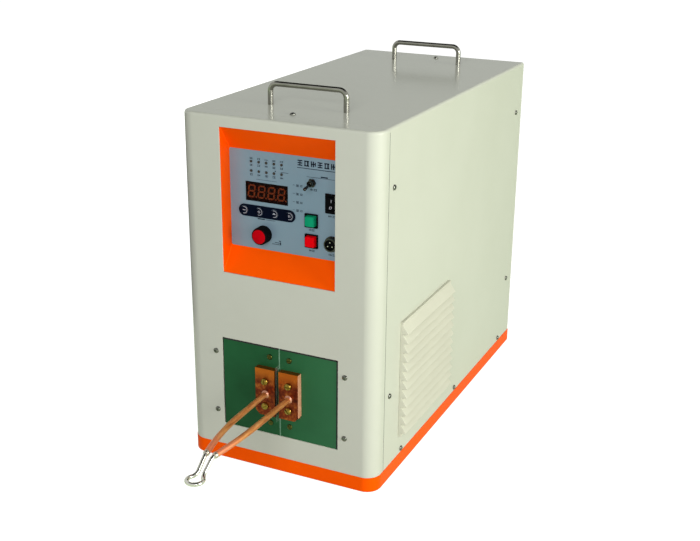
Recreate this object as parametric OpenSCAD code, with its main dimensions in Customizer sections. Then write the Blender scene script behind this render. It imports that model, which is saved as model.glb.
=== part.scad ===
/* [Case] */
// Width of the case across its side sheets
case_w = 232; // [224:1:260]
// Depth of the case from its front face to its rear edge
case_d = 468; // [460:1:520]
// Height of the case from the underside of the tray to the top
case_h = 400; // [396:1:440]
// Radius of the two upright corners at the front
corner_r = 18; // [10:0.5:21]
// Thickness of the case sheets
sheet = 1.5; // [1:0.1:2]
// Depth of the fascia's side wings, to the seam
wing_d = 22.4; // [21.5:0.1:28]
// Width of the seam between fascia and cover
seam = 0.4; // [0.2:0.1:1]
// Height of the tray's visible band
band_h = 17.7; // [15:0.1:20]
// How far the band stands proud of the case
band_proud = 0.5; // [0.2:0.1:1]

/* [Feet] */
// Height of the rubber feet
foot_h = 8; // [6:0.5:12]
// Diameter of the rubber feet
foot_d = 20; // [16:1:26]
// Distance from the case sides to the foot centres
foot_inset = 40; // [34:1:46]

/* [Handles] */
// Diameter of the handle rod
rod_d = 6; // [5:0.5:8]
// Distance between the legs of a handle
handle_span = 90; // [76:1:110]
// Height of a handle above the top
handle_h = 26; // [22:1:40]
// Bend radius on the rod's centre line
handle_bend_r = 8; // [6:0.5:12]
// Distance from the front face to the front handle
front_handle_in = 71; // [60:1:90]
// Distance from the rear edge to the rear handle
rear_handle_in = 60; // [56:1:80]

/* [Upper window and control panel] */
// Inside width of the recess
recess_w = 134; // [130:0.5:142]
// Inside height of the recess at the front face
recess_h = 159.5; // [156:0.5:162]
// Distance from the top down to the recess's upper edge
recess_down = 12.5; // [8:0.5:16]
// Depth of the recess
recess_d = 20; // [18:0.5:22]
// How far the sloping top and bottom walls run inwards
recess_slope = 26; // [24:0.5:27]
// Wall thickness of the recess
recess_wall = 1.2; // [0.8:0.1:2]
// Thickness of the control panel
panel_t = 2; // [1.5:0.1:3]

/* [Display and keys] */
// Width of the display window
display_w = 48; // [46:0.5:50]
// Height of the display window
display_h = 18.6; // [18:0.2:20]
// Height of one digit
digit_h = 14.2; // [12:0.1:15]
// Distance between digits
digit_pitch = 11.9; // [11:0.1:12]
// Length of the key strip
strip_w = 68; // [66:0.5:70]
// Height of the key strip
strip_h = 13; // [12:0.5:13.5]
// Diameter of a key
key_d = 9; // [7:0.5:9.5]
// Distance between keys
key_pitch = 18.2; // [16:0.1:18.4]
// Travel of a key
key_travel = 0.6; // [0.3:0.1:0.6]

/* [Knob, buttons and switches] */
// Diameter of the knob
knob_d = 19; // [16:0.5:21]
// How far the knob stands off the panel
knob_h = 12.4; // [11:0.2:15]
// Width of a button's square base
button_base_w = 15; // [14:0.5:17]
// Width of a button's cap
button_cap_w = 12.2; // [10:0.1:12.6]
// How far a button's cap stands off the panel
button_h = 6; // [5:0.2:8]
// Travel of a button
button_travel = 2.5; // [1:0.1:2.6]
// Width of the rocker switch's frame
rocker_w = 15; // [14:0.5:17]
// Height of the rocker switch's frame
rocker_h = 21; // [20:0.5:23]
// Tilt of the rocker to either side
rocker_tilt = 9; // [6:1:10]
// Tilt of the toggle lever to either side
toggle_tilt = 12; // [8:1:14]
// Outer diameter of the foot switch socket's flange
socket_d = 16.8; // [16:0.2:18]

/* [Lower window and terminals] */
// Distance from the case's sides to the lower window
window_in = 44.8; // [42:0.2:48]
// Height of the lower window
window_h = 106.4; // [102:0.2:108]
// Height of the lower window's lower edge above the tray's underside
window_up = 44.4; // [42:0.2:46]
// Thickness of the insulating board
board_t = 5; // [4:0.5:8]
// Width of a coil plate
plate_w = 24; // [22:0.5:27]
// Height of a coil plate
plate_h = 56; // [52:0.5:60]
// Thickness of a coil plate
plate_t = 7.5; // [6:0.5:9]
// Gap between the two coil plates
plate_gap = 5; // [4:0.5:6]

/* [Work coil] */
// Diameter of the coil's copper leads
lead_d = 6.4; // [5:0.2:7]
// Distance between the leads at the plates
lead_pitch = 28.8; // [27:0.2:30]
// Distance between the leads where they bend in
lead_end_pitch = 26.8; // [24:0.2:28]
// Distance from the front face to the leads' bend
lead_run = 96; // [85:1:110]
// Height of the leads above the tray's underside
lead_up = 95.3; // [92:0.1:98]
// Diameter of the head's tube
head_d = 4.4; // [3.6:0.1:5]
// Distance from the front face to the joints of leads and head
joint_run = 141; // [138:1:146]
// Distance between the two joints
joint_pitch = 10; // [9:0.2:12]
// Distance between the two shanks at the neck
neck_pitch = 7.2; // [6:0.1:8]
// Distance from the joints to the loop's centre
loop_reach = 29; // [26:0.5:36]
// Drop from the joints to the loop
loop_drop = 13.5; // [8:0.5:18]
// Radius of the loop on the tube's centre line
loop_r = 8.2; // [7.4:0.1:12]

/* [Side vents] */
// Distance from the front face to the vent's front edge
vent_in = 62.7; // [56:0.5:70]
// Length of the vent
vent_w = 146; // [120:1:190]
// Height of the vent's lower edge above the tray's underside
vent_up = 41; // [38:0.5:44]
// Number of louvres
louvres = 12; // [6:1:13]
// Distance between louvres
louvre_pitch = 10.9; // [10:0.1:11.2]
// Height of the vent's raised base
vent_base = 3.4; // [2.6:0.1:4]
// How far a louvre stands out from the case
louvre_out = 9.3; // [8:0.1:11]

/* [Rear fittings] */
// Width of the fan
fan_w = 120; // [100:1:124]
// Depth of the fan
fan_d = 25; // [22:0.5:30]
// Distance from the top down to the fan's axis
fan_down = 110; // [100:1:116]
// How far the water nipples stand out behind the case
nipple_out = 30; // [24:1:40]
// Diameter of a water nipple
nipple_d = 10; // [8:0.5:12]
// Diameter of the mains cable that the gland takes
gland_bore_d = 12; // [8:0.5:14]

/* [Hidden] */
$fn = 48;

// Overrun of every cut
over = 1;
// Gap between pieces that must not touch
gap = 0.3;
// Radial play of a shaft that turns in its bearing
play = 0.06;
// Play of a screw in its hole
screw_play = 0.25;

// The case in the row's frame: the origin is the middle of the floor area that the part covers
coil_out = joint_run + loop_reach + loop_r + head_d / 2;
front_y = coil_out - (coil_out + case_d + nipple_out) / 2;
rear_y = front_y + case_d;
half_w = case_w / 2;
recess_up = case_h - recess_down - recess_h;
window_w = case_w - 2 * window_in;
floor_z = foot_h + sheet;
band_top = foot_h + band_h;
top_z = foot_h + case_h;
cover_y = front_y + wing_d + seam;
panel_y = front_y + recess_d;
panel_back = panel_y + panel_t;
rear_plate_y = rear_y - 2 * sheet;

// Height in the row's frame of a point so far above the tray's underside
function up(h) = foot_h + h;

// Flanges and lips of the sheets
flange_d = 24;
flange_lap = wing_d - corner_r;
rear_flange_d = 30;
lip_h = 12;
lip_gap = 3;
lip_front_y = cover_y + flange_d + lip_gap;
lip_rear_y = rear_plate_y - rear_flange_d - lip_gap;

// Case screws: radius and length of the shank, radius and height of the head
screw_r = 1.6;
screw_len = 6;
screw_head_r = 3.1;
screw_head_h = 1.9;
// Side screws: distance from front and rear edges, heights, and the row above the band
side_screw_in = 35.4;
side_screw_back = 23.8;
side_screw_ups = [103.6, 337.3];
row_screw_shares = [0.153, 0.5235, 0.898];
row_screw_rise = 4.6;
top_screw_in = 36.8;
top_screw_back = 22.3;
// Screws round the lower window
window_screw_out = 8.1;
window_screw_x = window_w / 2 + window_screw_out;
window_screw_rise = 16.1;
window_screw_drop = 17.9;

// A box given by its spans along X, Y and Z
module block(xs, ys, zs) {
    translate([xs[0], ys[0], zs[0]]) cube([xs[1] - xs[0], ys[1] - ys[0], zs[1] - zs[0]]);
}

// A rod along X, Y or Z
module rod_x(y, z, xs, r) {
    translate([xs[0], y, z]) rotate([0, 90, 0]) cylinder(h = xs[1] - xs[0], r = r);
}
module rod_y(x, z, ys, r) {
    translate([x, ys[0], z]) rotate([-90, 0, 0]) cylinder(h = ys[1] - ys[0], r = r);
}
module rod_z(x, y, zs, r) {
    translate([x, y, zs[0]]) cylinder(h = zs[1] - zs[0], r = r);
}

// A six-sided nut along Y or Z
module hex_y(x, z, ys, r) {
    translate([x, ys[0], z]) rotate([-90, 0, 0]) cylinder(h = ys[1] - ys[0], r = r, $fn = 6);
}
module hex_z(x, y, zs, r) {
    translate([x, y, zs[0]]) cylinder(h = zs[1] - zs[0], r = r, $fn = 6);
}

// What stands on the right side, and its mirror image on the left
module both_sides() {
    for (side = [0, 1]) mirror([side, 0, 0]) children();
}

// Outline of the case, grown outwards by a given amount
module case_outline(grow) {
    translate([-half_w - grow, front_y + corner_r])
        square([case_w + 2 * grow, case_d - corner_r + grow]);
    translate([corner_r - half_w, front_y - grow]) square([case_w - 2 * corner_r, corner_r + grow + over]);
    for (side = [-1, 1])
        translate([side * (half_w - corner_r), front_y + corner_r]) circle(corner_r + grow);
}

// Places of the side screws: distance along Y and height
function side_screw_places() = concat(
    [for (h = side_screw_ups) [front_y + side_screw_in, up(h)]],
    [for (h = side_screw_ups) [rear_y - side_screw_back, up(h)]],
    [for (s = row_screw_shares) [front_y + s * case_d, band_top + row_screw_rise]]);
// Places of the screws in the top
function top_screw_places() = [front_y + top_screw_in, rear_y - top_screw_back];
// Places of the screws round the lower window
function window_screw_places() = [for (side = [-1, 1])
    for (h = [window_up + window_screw_rise, window_up + window_h - window_screw_drop])
        [side * window_screw_x, up(h)]];
function foot_places() = [for (side = [-1, 1])
    for (y = [front_y + foot_inset, rear_y - foot_inset]) [side * (half_w - foot_inset), y]];

module side_screw_holes() {
    for (p = side_screw_places())
        rod_x(p[0], p[1], [-half_w - over, half_w + over], screw_r + screw_play);
}
module top_screw_holes() {
    for (y = top_screw_places())
        rod_z(0, y, [top_z - 2 * sheet - over, top_z + over], screw_r + screw_play);
}

// Feet
foot_screw_r = 2;
foot_screw_head_r = 4;
foot_screw_head_h = 2.4;
foot_well_h = foot_h / 2;

module base_tray() {
    color("orangered") difference() {
        union() {
            difference() {
                translate([0, 0, foot_h]) linear_extrude(band_h) case_outline(band_proud);
                translate([0, 0, floor_z]) linear_extrude(band_h) case_outline(-sheet);
            }
            both_sides() block([half_w - 2 * sheet, half_w - sheet], [lip_front_y, lip_rear_y],
                [foot_h, band_top + lip_h]);
        }
        for (p = foot_places())
            rod_z(p[0], p[1], [foot_h - over, floor_z + over], foot_screw_r + screw_play);
        side_screw_holes();
    }
}

module rubber_feet() {
    color("#202020") for (p = foot_places()) difference() {
        rod_z(p[0], p[1], [0, foot_h], foot_d / 2);
        rod_z(p[0], p[1], [-over, foot_h + over], foot_screw_r + screw_play);
        rod_z(p[0], p[1], [-over, foot_well_h], foot_screw_head_r + gap);
    }
}

module foot_screws() {
    foot_nut_h = 3;
    foot_nut_r = 4;
    color("silver") for (p = foot_places()) union() {
        rod_z(p[0], p[1], [foot_well_h, floor_z + foot_nut_h], foot_screw_r);
        rod_z(p[0], p[1], [foot_well_h - foot_screw_head_h, foot_well_h], foot_screw_head_r);
        hex_z(p[0], p[1], [floor_z, floor_z + foot_nut_h], foot_nut_r);
    }
}

// The fascia's flanges behind the cover, and where they sink into its wings
module flange(ys, outer) {
    block([half_w - 2 * sheet, outer], ys, [band_top, top_z - 2 * sheet - gap]);
}
module top_flange(ys, upper) {
    block([corner_r - half_w, half_w - corner_r], ys, [top_z - 2 * sheet, upper]);
}
module front_fascia() {
    color("#d5d8c8") difference() {
        union() {
            difference() {
                translate([0, 0, band_top]) linear_extrude(case_h - band_h) case_outline(0);
                translate([0, 0, band_top - over])
                    linear_extrude(case_h - band_h - sheet + over) case_outline(-sheet);
                block([-case_w, case_w], [front_y + wing_d, rear_y + case_d], [0, top_z + case_h]);
            }
            both_sides() flange([front_y + wing_d - flange_lap, cover_y + flange_d], half_w - sheet);
            both_sides() flange([front_y + wing_d - flange_lap, front_y + wing_d], half_w - sheet / 2);
            top_flange([front_y + wing_d - flange_lap, cover_y + flange_d], top_z - sheet);
            top_flange([front_y + wing_d - flange_lap, front_y + wing_d], top_z - sheet / 2);
        }
        block([-recess_w / 2 - recess_wall, recess_w / 2 + recess_wall],
            [front_y - over, front_y + sheet + over],
            [up(recess_up) - recess_wall, up(recess_up + recess_h) + recess_wall]);
        block([-window_w / 2, window_w / 2], [front_y - over, front_y + sheet + over],
            [up(window_up), up(window_up + window_h)]);
        for (p = window_screw_places())
            rod_y(p[0], p[1], [front_y - over, front_y + sheet + over], screw_r + screw_play);
        side_screw_holes();
        top_screw_holes();
    }
}

// Side vents
vent_rim = 4;
vent_h = louvres * louvre_pitch + 2 * vent_rim;
louvre_wall = 1;

module wrap_cover() {
    color("#d5d8c8") difference() {
        block([-half_w, half_w], [cover_y, rear_y], [band_top, top_z]);
        block([sheet - half_w, half_w - sheet], [cover_y - over, rear_y + over], [0, top_z - sheet]);
        block([-half_w - over, half_w + over],
            [front_y + vent_in + vent_rim, front_y + vent_in + vent_w - vent_rim],
            [up(vent_up) + vent_rim, up(vent_up) + vent_h - vent_rim]);
        side_screw_holes();
        top_screw_holes();
        for (y = [front_y + front_handle_in, rear_y - rear_handle_in]) for (side = [-1, 1])
            rod_z(side * handle_span / 2, y, [top_z - sheet - over, top_z + over], stud_r + screw_play);
    }
}

// A louvre's hood seen from behind: distance out from the side, and height from its top edge
module hood_profile() {
    polygon([[vent_base - louvre_wall, 0], [vent_base, 0], [louvre_out, 2 * louvre_wall - louvre_pitch],
        [louvre_out, louvre_wall - louvre_pitch], [vent_base - louvre_wall, louvre_wall - louvre_pitch]]);
}
// The air way under the hood, through the base behind it
module air_profile() {
    polygon([[vent_base - louvre_wall - over, -2 * louvre_wall], [vent_base, -2 * louvre_wall],
        [louvre_out - louvre_wall, 3 * louvre_wall - louvre_pitch],
        [louvre_out - louvre_wall, louvre_wall - louvre_pitch - over / 2],
        [vent_base + over / 2, louvre_wall - louvre_pitch - over / 2], [vent_base,
            louvre_wall - louvre_pitch],
        [vent_base - louvre_wall - over, louvre_wall - louvre_pitch]]);
}
// A profile drawn along the vent, shortened at both ends, once for each louvre
module along_louvres(end_wall) {
    for (i = [0 : louvres - 1])
        translate([half_w, front_y + vent_in + vent_w - end_wall,
            up(vent_up) + vent_h - vent_rim - i * louvre_pitch])
            rotate([90, 0, 0]) linear_extrude(vent_w - 2 * end_wall) children();
}

module grille() {
    difference() {
        union() {
            block([half_w, half_w + vent_base], [front_y + vent_in, front_y + vent_in + vent_w],
                [up(vent_up), up(vent_up) + vent_h]);
            along_louvres(0) hood_profile();
        }
        block([half_w - over, half_w + vent_base - louvre_wall],
            [front_y + vent_in + vent_rim, front_y + vent_in + vent_w - vent_rim],
            [up(vent_up) + vent_rim, up(vent_up) + vent_h - vent_rim]);
        along_louvres(vent_rim) air_profile();
    }
}
module right_grille() {
    color("#d9d6c4") grille();
}
module left_grille() {
    color("#d9d6c4") mirror([1, 0, 0]) grille();
}

pan_share = 0.7;
module pan_screw(len) {
    union() {
        cylinder(h = len, r = screw_r);
        translate([0, 0, -screw_head_h])
            cylinder(h = screw_head_h, r1 = screw_head_r * pan_share, r2 = screw_head_r);
    }
}

module case_screws() {
    color("silver") union() {
        for (p = side_screw_places()) both_sides()
            translate([half_w, p[0], p[1]]) rotate([0, -90, 0]) pan_screw(screw_len);
        for (y = top_screw_places()) translate([0, y, top_z]) rotate([180, 0, 0]) pan_screw(screw_len);
        for (p = window_screw_places()) translate([p[0], front_y, p[1]]) rotate([-90, 0,
            0]) pan_screw(screw_len);
    }
}

module rear_panel() {
    inside_w = half_w - sheet - gap;
    flange_ys = [rear_plate_y - rear_flange_d, rear_plate_y + sheet / 2];
    color("#d5d8c8") difference() {
        union() {
            block([-inside_w, inside_w], [rear_plate_y, rear_plate_y + sheet], [floor_z,
                top_z - sheet - gap]);
            both_sides() block([inside_w - sheet, inside_w], flange_ys, [floor_z,
                top_z - 2 * sheet - 2 * gap]);
            block([-inside_w, inside_w], flange_ys, [top_z - 2 * sheet - gap, top_z - sheet - gap]);
        }
        side_screw_holes();
        top_screw_holes();
        rod_y(0, up(fan_up), [rear_plate_y - over, rear_y], fan_w / 2 - fan_rim);
        for (p = fan_screw_places())
            rod_y(p[0], p[1], [rear_plate_y - over, rear_y], fan_screw_r + screw_play);
        for (side = [-1, 1])
            rod_y(side * hose_x, up(hose_up), [rear_plate_y - over, rear_y], nipple_d / 2 + screw_play);
        rod_y(gland_x, up(gland_up), [rear_plate_y - over, rear_y], gland_r + screw_play);
        rod_y(gland_x, up(earth_up), [rear_plate_y - over, rear_y], earth_r + screw_play);
    }
}

// Handles: the rod's stud goes through the top and takes a nut
stud_r = 2.5;
stud_len = 9;
nut_r = 4.6;
nut_h = 4;

module handle(y) {
    leg_x = handle_span / 2;
    bend_z = top_z + handle_h - rod_d / 2 - handle_bend_r;
    both_sides() union() {
        rod_z(leg_x, y, [top_z, bend_z], rod_d / 2);
        rod_z(leg_x, y, [top_z - stud_len, top_z + over], stud_r);
        translate([leg_x - handle_bend_r, y, bend_z]) rotate([90, 0, 0])
            rotate_extrude(angle = 90) translate([handle_bend_r, 0]) circle(rod_d / 2);
        rod_x(y, bend_z + handle_bend_r, [0, leg_x - handle_bend_r], rod_d / 2);
    }
}
module front_handle() {
    color("silver") handle(front_y + front_handle_in);
}
module rear_handle() {
    color("silver") handle(rear_y - rear_handle_in);
}
module handle_nuts() {
    color("gray") for (y = [front_y + front_handle_in, rear_y - rear_handle_in]) for (side = [-1, 1])
        difference() {
            hex_z(side * handle_span / 2, y, [top_z - sheet - nut_h, top_z - sheet], nut_r);
            rod_z(side * handle_span / 2, y, [top_z - sheet - nut_h - over, top_z], stud_r);
        }
}

// Inner shelf: a bridge of folded sheet that stands on the tray
shelf_in = 12;
shelf_w = case_w - 2 * shelf_in;
shelf_up = 196;
shelf_front = 60;
shelf_back = 60;
shelf_hole_margin = 18;

module equipment_shelf() {
    shelf_ys = [front_y + shelf_front, rear_y - shelf_back];
    color("lightgray") difference() {
        block([-shelf_w / 2, shelf_w / 2], shelf_ys, [floor_z, up(shelf_up)]);
        block([sheet - shelf_w / 2, shelf_w / 2 - sheet], [shelf_ys[0] - over, shelf_ys[1] + over],
            [0, up(shelf_up) - sheet]);
        block([-shelf_w, shelf_w], [shelf_ys[0] + shelf_hole_margin, shelf_ys[1] - shelf_hole_margin],
            [floor_z + shelf_hole_margin, up(shelf_up) - shelf_hole_margin]);
        for (p = power_post_places())
            rod_z(p[0], p[1], [up(shelf_up) - sheet - over, up(shelf_up) + over], screw_r);
    }
}

// The recess: upright side walls, and top and bottom walls that slope inwards
module recess_profile(wall) {
    low = up(recess_up);
    high = up(recess_up + recess_h);
    end = wall > 0 ? 0 : over;
    slope = recess_slope / recess_d;
    polygon([[front_y - end, low - end * slope - wall], [panel_y + end,
        low + recess_slope + end * slope - wall],
        [panel_y + end, high - recess_slope - end * slope + wall], [front_y - end,
            high + end * slope + wall]]);
}
module recess_bar(w, wall) {
    translate([-w / 2, 0, 0]) rotate([90, 0, 90]) linear_extrude(w) recess_profile(wall);
}
module panel_recess() {
    color("#ff5a00") difference() {
        recess_bar(recess_w + 2 * recess_wall, recess_wall);
        recess_bar(recess_w, 0);
    }
}

// Control panel: places of its pieces, X from the middle and rise above the recess's lower lip
panel_margin = 6;
fit = 0.05;
display_x = -22.7;
display_rise = 89;
strip_rise = 67.5;
knob_x = -26.4;
knob_rise = 43.5;
button_x = 30.4;
button_rises = [66.3, 44];
toggle_x = 31;
toggle_rise = 107;
rocker_x = 54;
rocker_rise = 87.5;
socket_x = 54.3;
socket_rise = 44.4;
led_rises = [121.5, 111.3];
led_pitch = 9.05;
led_r = 1.5;
led_count = 5;
function on_panel(rise) = up(recess_up + rise);
function led_places() = [for (rise = led_rises) for (i = [0 : led_count - 1])
    [display_x + (i - (led_count - 1) / 2) * led_pitch, on_panel(rise)]];
keys = 4;
function key_x(i) = display_x + (i - (keys - 1) / 2) * key_pitch;

// The display's housing, and the board behind the panel
bezel = 1.2;
display_proud = 0.6;
board_gap = 8;
pcb_t = 1.6;
pcb_y = panel_back + board_gap;

module display_hole(grow) {
    block([display_x - display_w / 2 - bezel - grow, display_x + display_w / 2 + bezel + grow],
        [panel_y - display_proud, pcb_y],
        [on_panel(display_rise) - display_h / 2 - bezel - grow,
            on_panel(display_rise) + display_h / 2 + bezel + grow]);
}

module control_panel() {
    side = recess_w / 2 + recess_wall + panel_margin;
    low = up(recess_up + recess_slope) - recess_wall - panel_margin;
    high = up(recess_up + recess_h - recess_slope) + recess_wall + panel_margin;
    cut = [panel_y - over, panel_back + over];
    color("#8496a4") difference() {
        block([-side, side], [panel_y, panel_back], [low, high]);
        display_hole(0);
        for (p = led_places()) rod_y(p[0], p[1], cut, led_r + fit);
        for (i = [0 : keys - 1]) rod_y(key_x(i), on_panel(strip_rise), cut, key_stem_r + gap);
        rod_y(knob_x, on_panel(knob_rise), cut, pot_bush_r + fit);
        rod_y(toggle_x, on_panel(toggle_rise), cut, toggle_bush_r + fit);
        rod_y(socket_x, on_panel(socket_rise), cut, socket_body_r + fit);
        for (rise = button_rises) button_body(rise, cut);
        rocker_body(cut);
    }
}

module display_housing() {
    lens_pocket = [panel_y - display_proud - over, panel_y - display_proud + lens_t + digit_t + gap];
    color("#101010") difference() {
        display_hole(0);
        block([display_x - display_w / 2, display_x + display_w / 2], lens_pocket,
            [on_panel(display_rise) - display_h / 2, on_panel(display_rise) + display_h / 2]);
    }
}

// Digits: hexagonal bars, slanted as one
lens_t = 1;
digit_t = 0.4;
bar_t = 1.7;
bar_space = 0.3;
digit_w_share = 0.5;
slant_share = 0.12;
digits = 4;
dot_r = 0.9;
function slanted(p) = [p[0] + p[1] * slant_share, p[1]];
module bar(centre, length, upright) {
    half = length / 2 - bar_space;
    flat = half - bar_t / 2;
    points = [[-half, 0], [-flat, bar_t / 2], [flat, bar_t / 2], [half, 0], [flat, -bar_t / 2], [-flat,
        -bar_t / 2]];
    linear_extrude(digit_t)
        polygon([for (p = points) slanted(centre + (upright ? [-p[1], p[0]] : p))]);
}
module digit() {
    run = (digit_h - bar_t) / 2;
    w = digit_h * digit_w_share;
    for (level = [-1, 0, 1]) bar([0, level * run], w, false);
    for (side = [-1, 1]) for (level = [-1, 1]) bar([side * w / 2, level * run / 2], run, true);
    translate([w / 2 + 2 * dot_r, -run, 0]) cylinder(h = digit_t, r = dot_r, $fn = 24);
}
module display_digits() {
    back = panel_y - display_proud + lens_t + digit_t + gap;
    color("#803018") for (i = [0 : digits - 1])
        translate([display_x - dot_r + (i - (digits - 1) / 2) * digit_pitch, back, on_panel(display_rise)])
            rotate([90, 0, 0]) digit();
}

module display_window() {
    color("#301010", 0.5) block([display_x - display_w / 2, display_x + display_w / 2],
        [panel_y - display_proud, panel_y - display_proud + lens_t],
        [on_panel(display_rise) - display_h / 2, on_panel(display_rise) + display_h / 2]);
}

// Keys: caps in a strip on the panel, with stems to the switches on the board
strip_t = 1;
key_proud = 0.4;
key_cap_t = 0.7;
key_stem_r = 2;
switch_w = 6;

module key_strip() {
    color("#0a1428") difference() {
        translate([0, panel_y, on_panel(strip_rise)]) rotate([90, 0, 0]) linear_extrude(strip_t) union() {
            for (side = [-1, 1]) translate([display_x + side * (strip_w - strip_h) / 2,
                0]) circle(strip_h / 2);
            translate([display_x - (strip_w - strip_h) / 2, -strip_h / 2]) square([strip_w - strip_h,
                strip_h]);
        }
        for (i = [0 : keys - 1])
            rod_y(key_x(i), on_panel(strip_rise), [panel_y - strip_t - over, panel_back], key_d / 2 + gap);
    }
}

module key(i) {
    front = panel_y - strip_t - key_proud;
    color("#142038") union() {
        rod_y(key_x(i), on_panel(strip_rise), [front, front + key_cap_t], key_d / 2);
        rod_y(key_x(i), on_panel(strip_rise), [front + key_cap_t, pcb_y - switch_t - key_travel - gap],
            key_stem_r);
    }
}
switch_t = 2;
module key_1() key(0);
module key_2() key(1);
module key_3() key(2);
module key_4() key(3);

// The control board carries the display, the lamps and the key switches
control_pcb_w = 76;
control_pcb_low = 57;
control_pcb_high = 131;
spacer_r = 2.5;
spacer_in = 3.5;
chip_h = 5;

module control_board() {
    xs = [display_x - control_pcb_w / 2, display_x + control_pcb_w / 2];
    zs = [on_panel(control_pcb_low), on_panel(control_pcb_high)];
    color("darkgreen") union() {
        block(xs, [pcb_y, pcb_y + pcb_t], zs);
        for (x = [xs[0] + spacer_in, xs[1] - spacer_in]) for (z = [zs[0] + spacer_in, zs[1] - spacer_in])
            rod_y(x, z, [panel_back, pcb_y], spacer_r);
        for (i = [0 : keys - 1])
            block([key_x(i) - switch_w / 2, key_x(i) + switch_w / 2], [pcb_y - switch_t, pcb_y],
                [on_panel(strip_rise) - switch_w / 2, on_panel(strip_rise) + switch_w / 2]);
        for (side = [-1, 1])
            block([display_x + side * key_pitch - switch_w, display_x + side * key_pitch + switch_w],
                [pcb_y + pcb_t, pcb_y + pcb_t + chip_h],
                [on_panel(display_rise) - display_h, on_panel(display_rise) + display_h]);
    }
}

module indicator_leds() {
    led_proud = 0.5;
    color("#3a2020") for (p = led_places()) rod_y(p[0], p[1], [panel_y - led_proud, pcb_y], led_r);
}

// Power knob on the shaft of a potentiometer
pot_bush_r = 3.5;
pot_body_r = 8.5;
pot_body_t = 10;
pot_nut_r = 5.4;
pot_nut_t = 2;
pot_bush_out = 6;
shaft_r = 3;
shaft_out = 9.5;
shaft_in = 2;
knob_well_r = 6.4;
knob_well_d = 7.5;
knob_draft = 0.6;
cap_r = 8;
cap_t = 2;
cap_proud = 0.6;

module potentiometer() {
    color("gray") difference() {
        union() {
            rod_y(knob_x, on_panel(knob_rise), [panel_back, panel_back + pot_body_t], pot_body_r);
            rod_y(knob_x, on_panel(knob_rise), [panel_y - pot_bush_out, panel_back + over], pot_bush_r);
            hex_y(knob_x, on_panel(knob_rise), [panel_y - pot_nut_t, panel_y], pot_nut_r);
        }
        rod_y(knob_x, on_panel(knob_rise), [panel_y - pot_bush_out - over, panel_back + shaft_in + gap],
            shaft_r + play);
    }
}
module knob_shaft() {
    color("silver") rod_y(knob_x, on_panel(knob_rise), [panel_y - shaft_out, panel_back + shaft_in], shaft_r);
}
module power_knob() {
    front = panel_y - knob_h;
    color("#181818") difference() {
        translate([knob_x, front, on_panel(knob_rise)]) rotate([-90, 0, 0])
            cylinder(h = knob_h - gap, r1 = knob_d / 2 - knob_draft, r2 = knob_d / 2);
        rod_y(knob_x, on_panel(knob_rise), [front - over, front + cap_t], cap_r);
        rod_y(knob_x, on_panel(knob_rise), [panel_y - knob_well_d, panel_y + over], knob_well_r);
        rod_y(knob_x, on_panel(knob_rise), [panel_y - shaft_out, panel_y], shaft_r);
    }
}
module knob_cap() {
    front = panel_y - knob_h;
    color("#c8000f") rod_y(knob_x, on_panel(knob_rise), [front - cap_proud, front + cap_t], cap_r);
}

// Square push buttons
button_base_h = 2.4;
button_body_d = 16;
button_in = 1;
button_lip = 0.5;
module button_body(rise, ys) {
    half = button_base_w / 2 - button_lip;
    block([button_x - half, button_x + half], ys, [on_panel(rise) - half, on_panel(rise) + half]);
}
module button_bases() {
    color("#101418") for (rise = button_rises) difference() {
        union() {
            block([button_x - button_base_w / 2, button_x + button_base_w / 2], [panel_y - button_base_h,
                panel_y],
                [on_panel(rise) - button_base_w / 2, on_panel(rise) + button_base_w / 2]);
            button_body(rise, [panel_y, panel_back + button_body_d]);
        }
        button_cap(rise, [panel_y - button_base_h - over, panel_y + button_in + button_travel + gap], gap);
    }
}
module button_cap(rise, ys, grow) {
    half = button_cap_w / 2 + grow;
    block([button_x - half, button_x + half], ys, [on_panel(rise) - half, on_panel(rise) + half]);
}
module start_button() {
    color("#10a070") button_cap(button_rises[0], [panel_y - button_h, panel_y + button_in], 0);
}
module stop_button() {
    color("#e00010") button_cap(button_rises[1], [panel_y - button_h, panel_y + button_in], 0);
}

// Toggle switch: the lever turns on a ball inside the bush
toggle_bush_r = 3.2;
toggle_bush_out = 6.5;
toggle_nut_r = 4.8;
toggle_nut_t = 2;
toggle_body_w = 9;
toggle_body_h = 13;
toggle_body_d = 11;
toggle_ball_r = 2.5;
toggle_pivot_out = 4;
lever_r = 1.2;
lever_tip_r = 1.8;
lever_len = 13;

module toggle_body() {
    color("silver") difference() {
        union() {
            rod_y(toggle_x, on_panel(toggle_rise), [panel_y - toggle_bush_out, panel_back + over],
                toggle_bush_r);
            hex_y(toggle_x, on_panel(toggle_rise), [panel_y - toggle_nut_t, panel_y], toggle_nut_r);
            block([toggle_x - toggle_body_w / 2, toggle_x + toggle_body_w / 2],
                [panel_back, panel_back + toggle_body_d],
                [on_panel(toggle_rise) - toggle_body_h / 2, on_panel(toggle_rise) + toggle_body_h / 2]);
        }
        rod_y(toggle_x, on_panel(toggle_rise), [panel_y - toggle_bush_out - over, panel_back],
            toggle_ball_r + play);
    }
}
module toggle_lever() {
    color("silver") translate([toggle_x, panel_y - toggle_pivot_out, on_panel(toggle_rise)])
        rotate([90 + toggle_tilt, 0, 0]) union() {
            sphere(toggle_ball_r);
            cylinder(h = lever_len, r1 = lever_r, r2 = lever_tip_r);
            translate([0, 0, lever_len]) sphere(lever_tip_r);
        }
}

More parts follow.
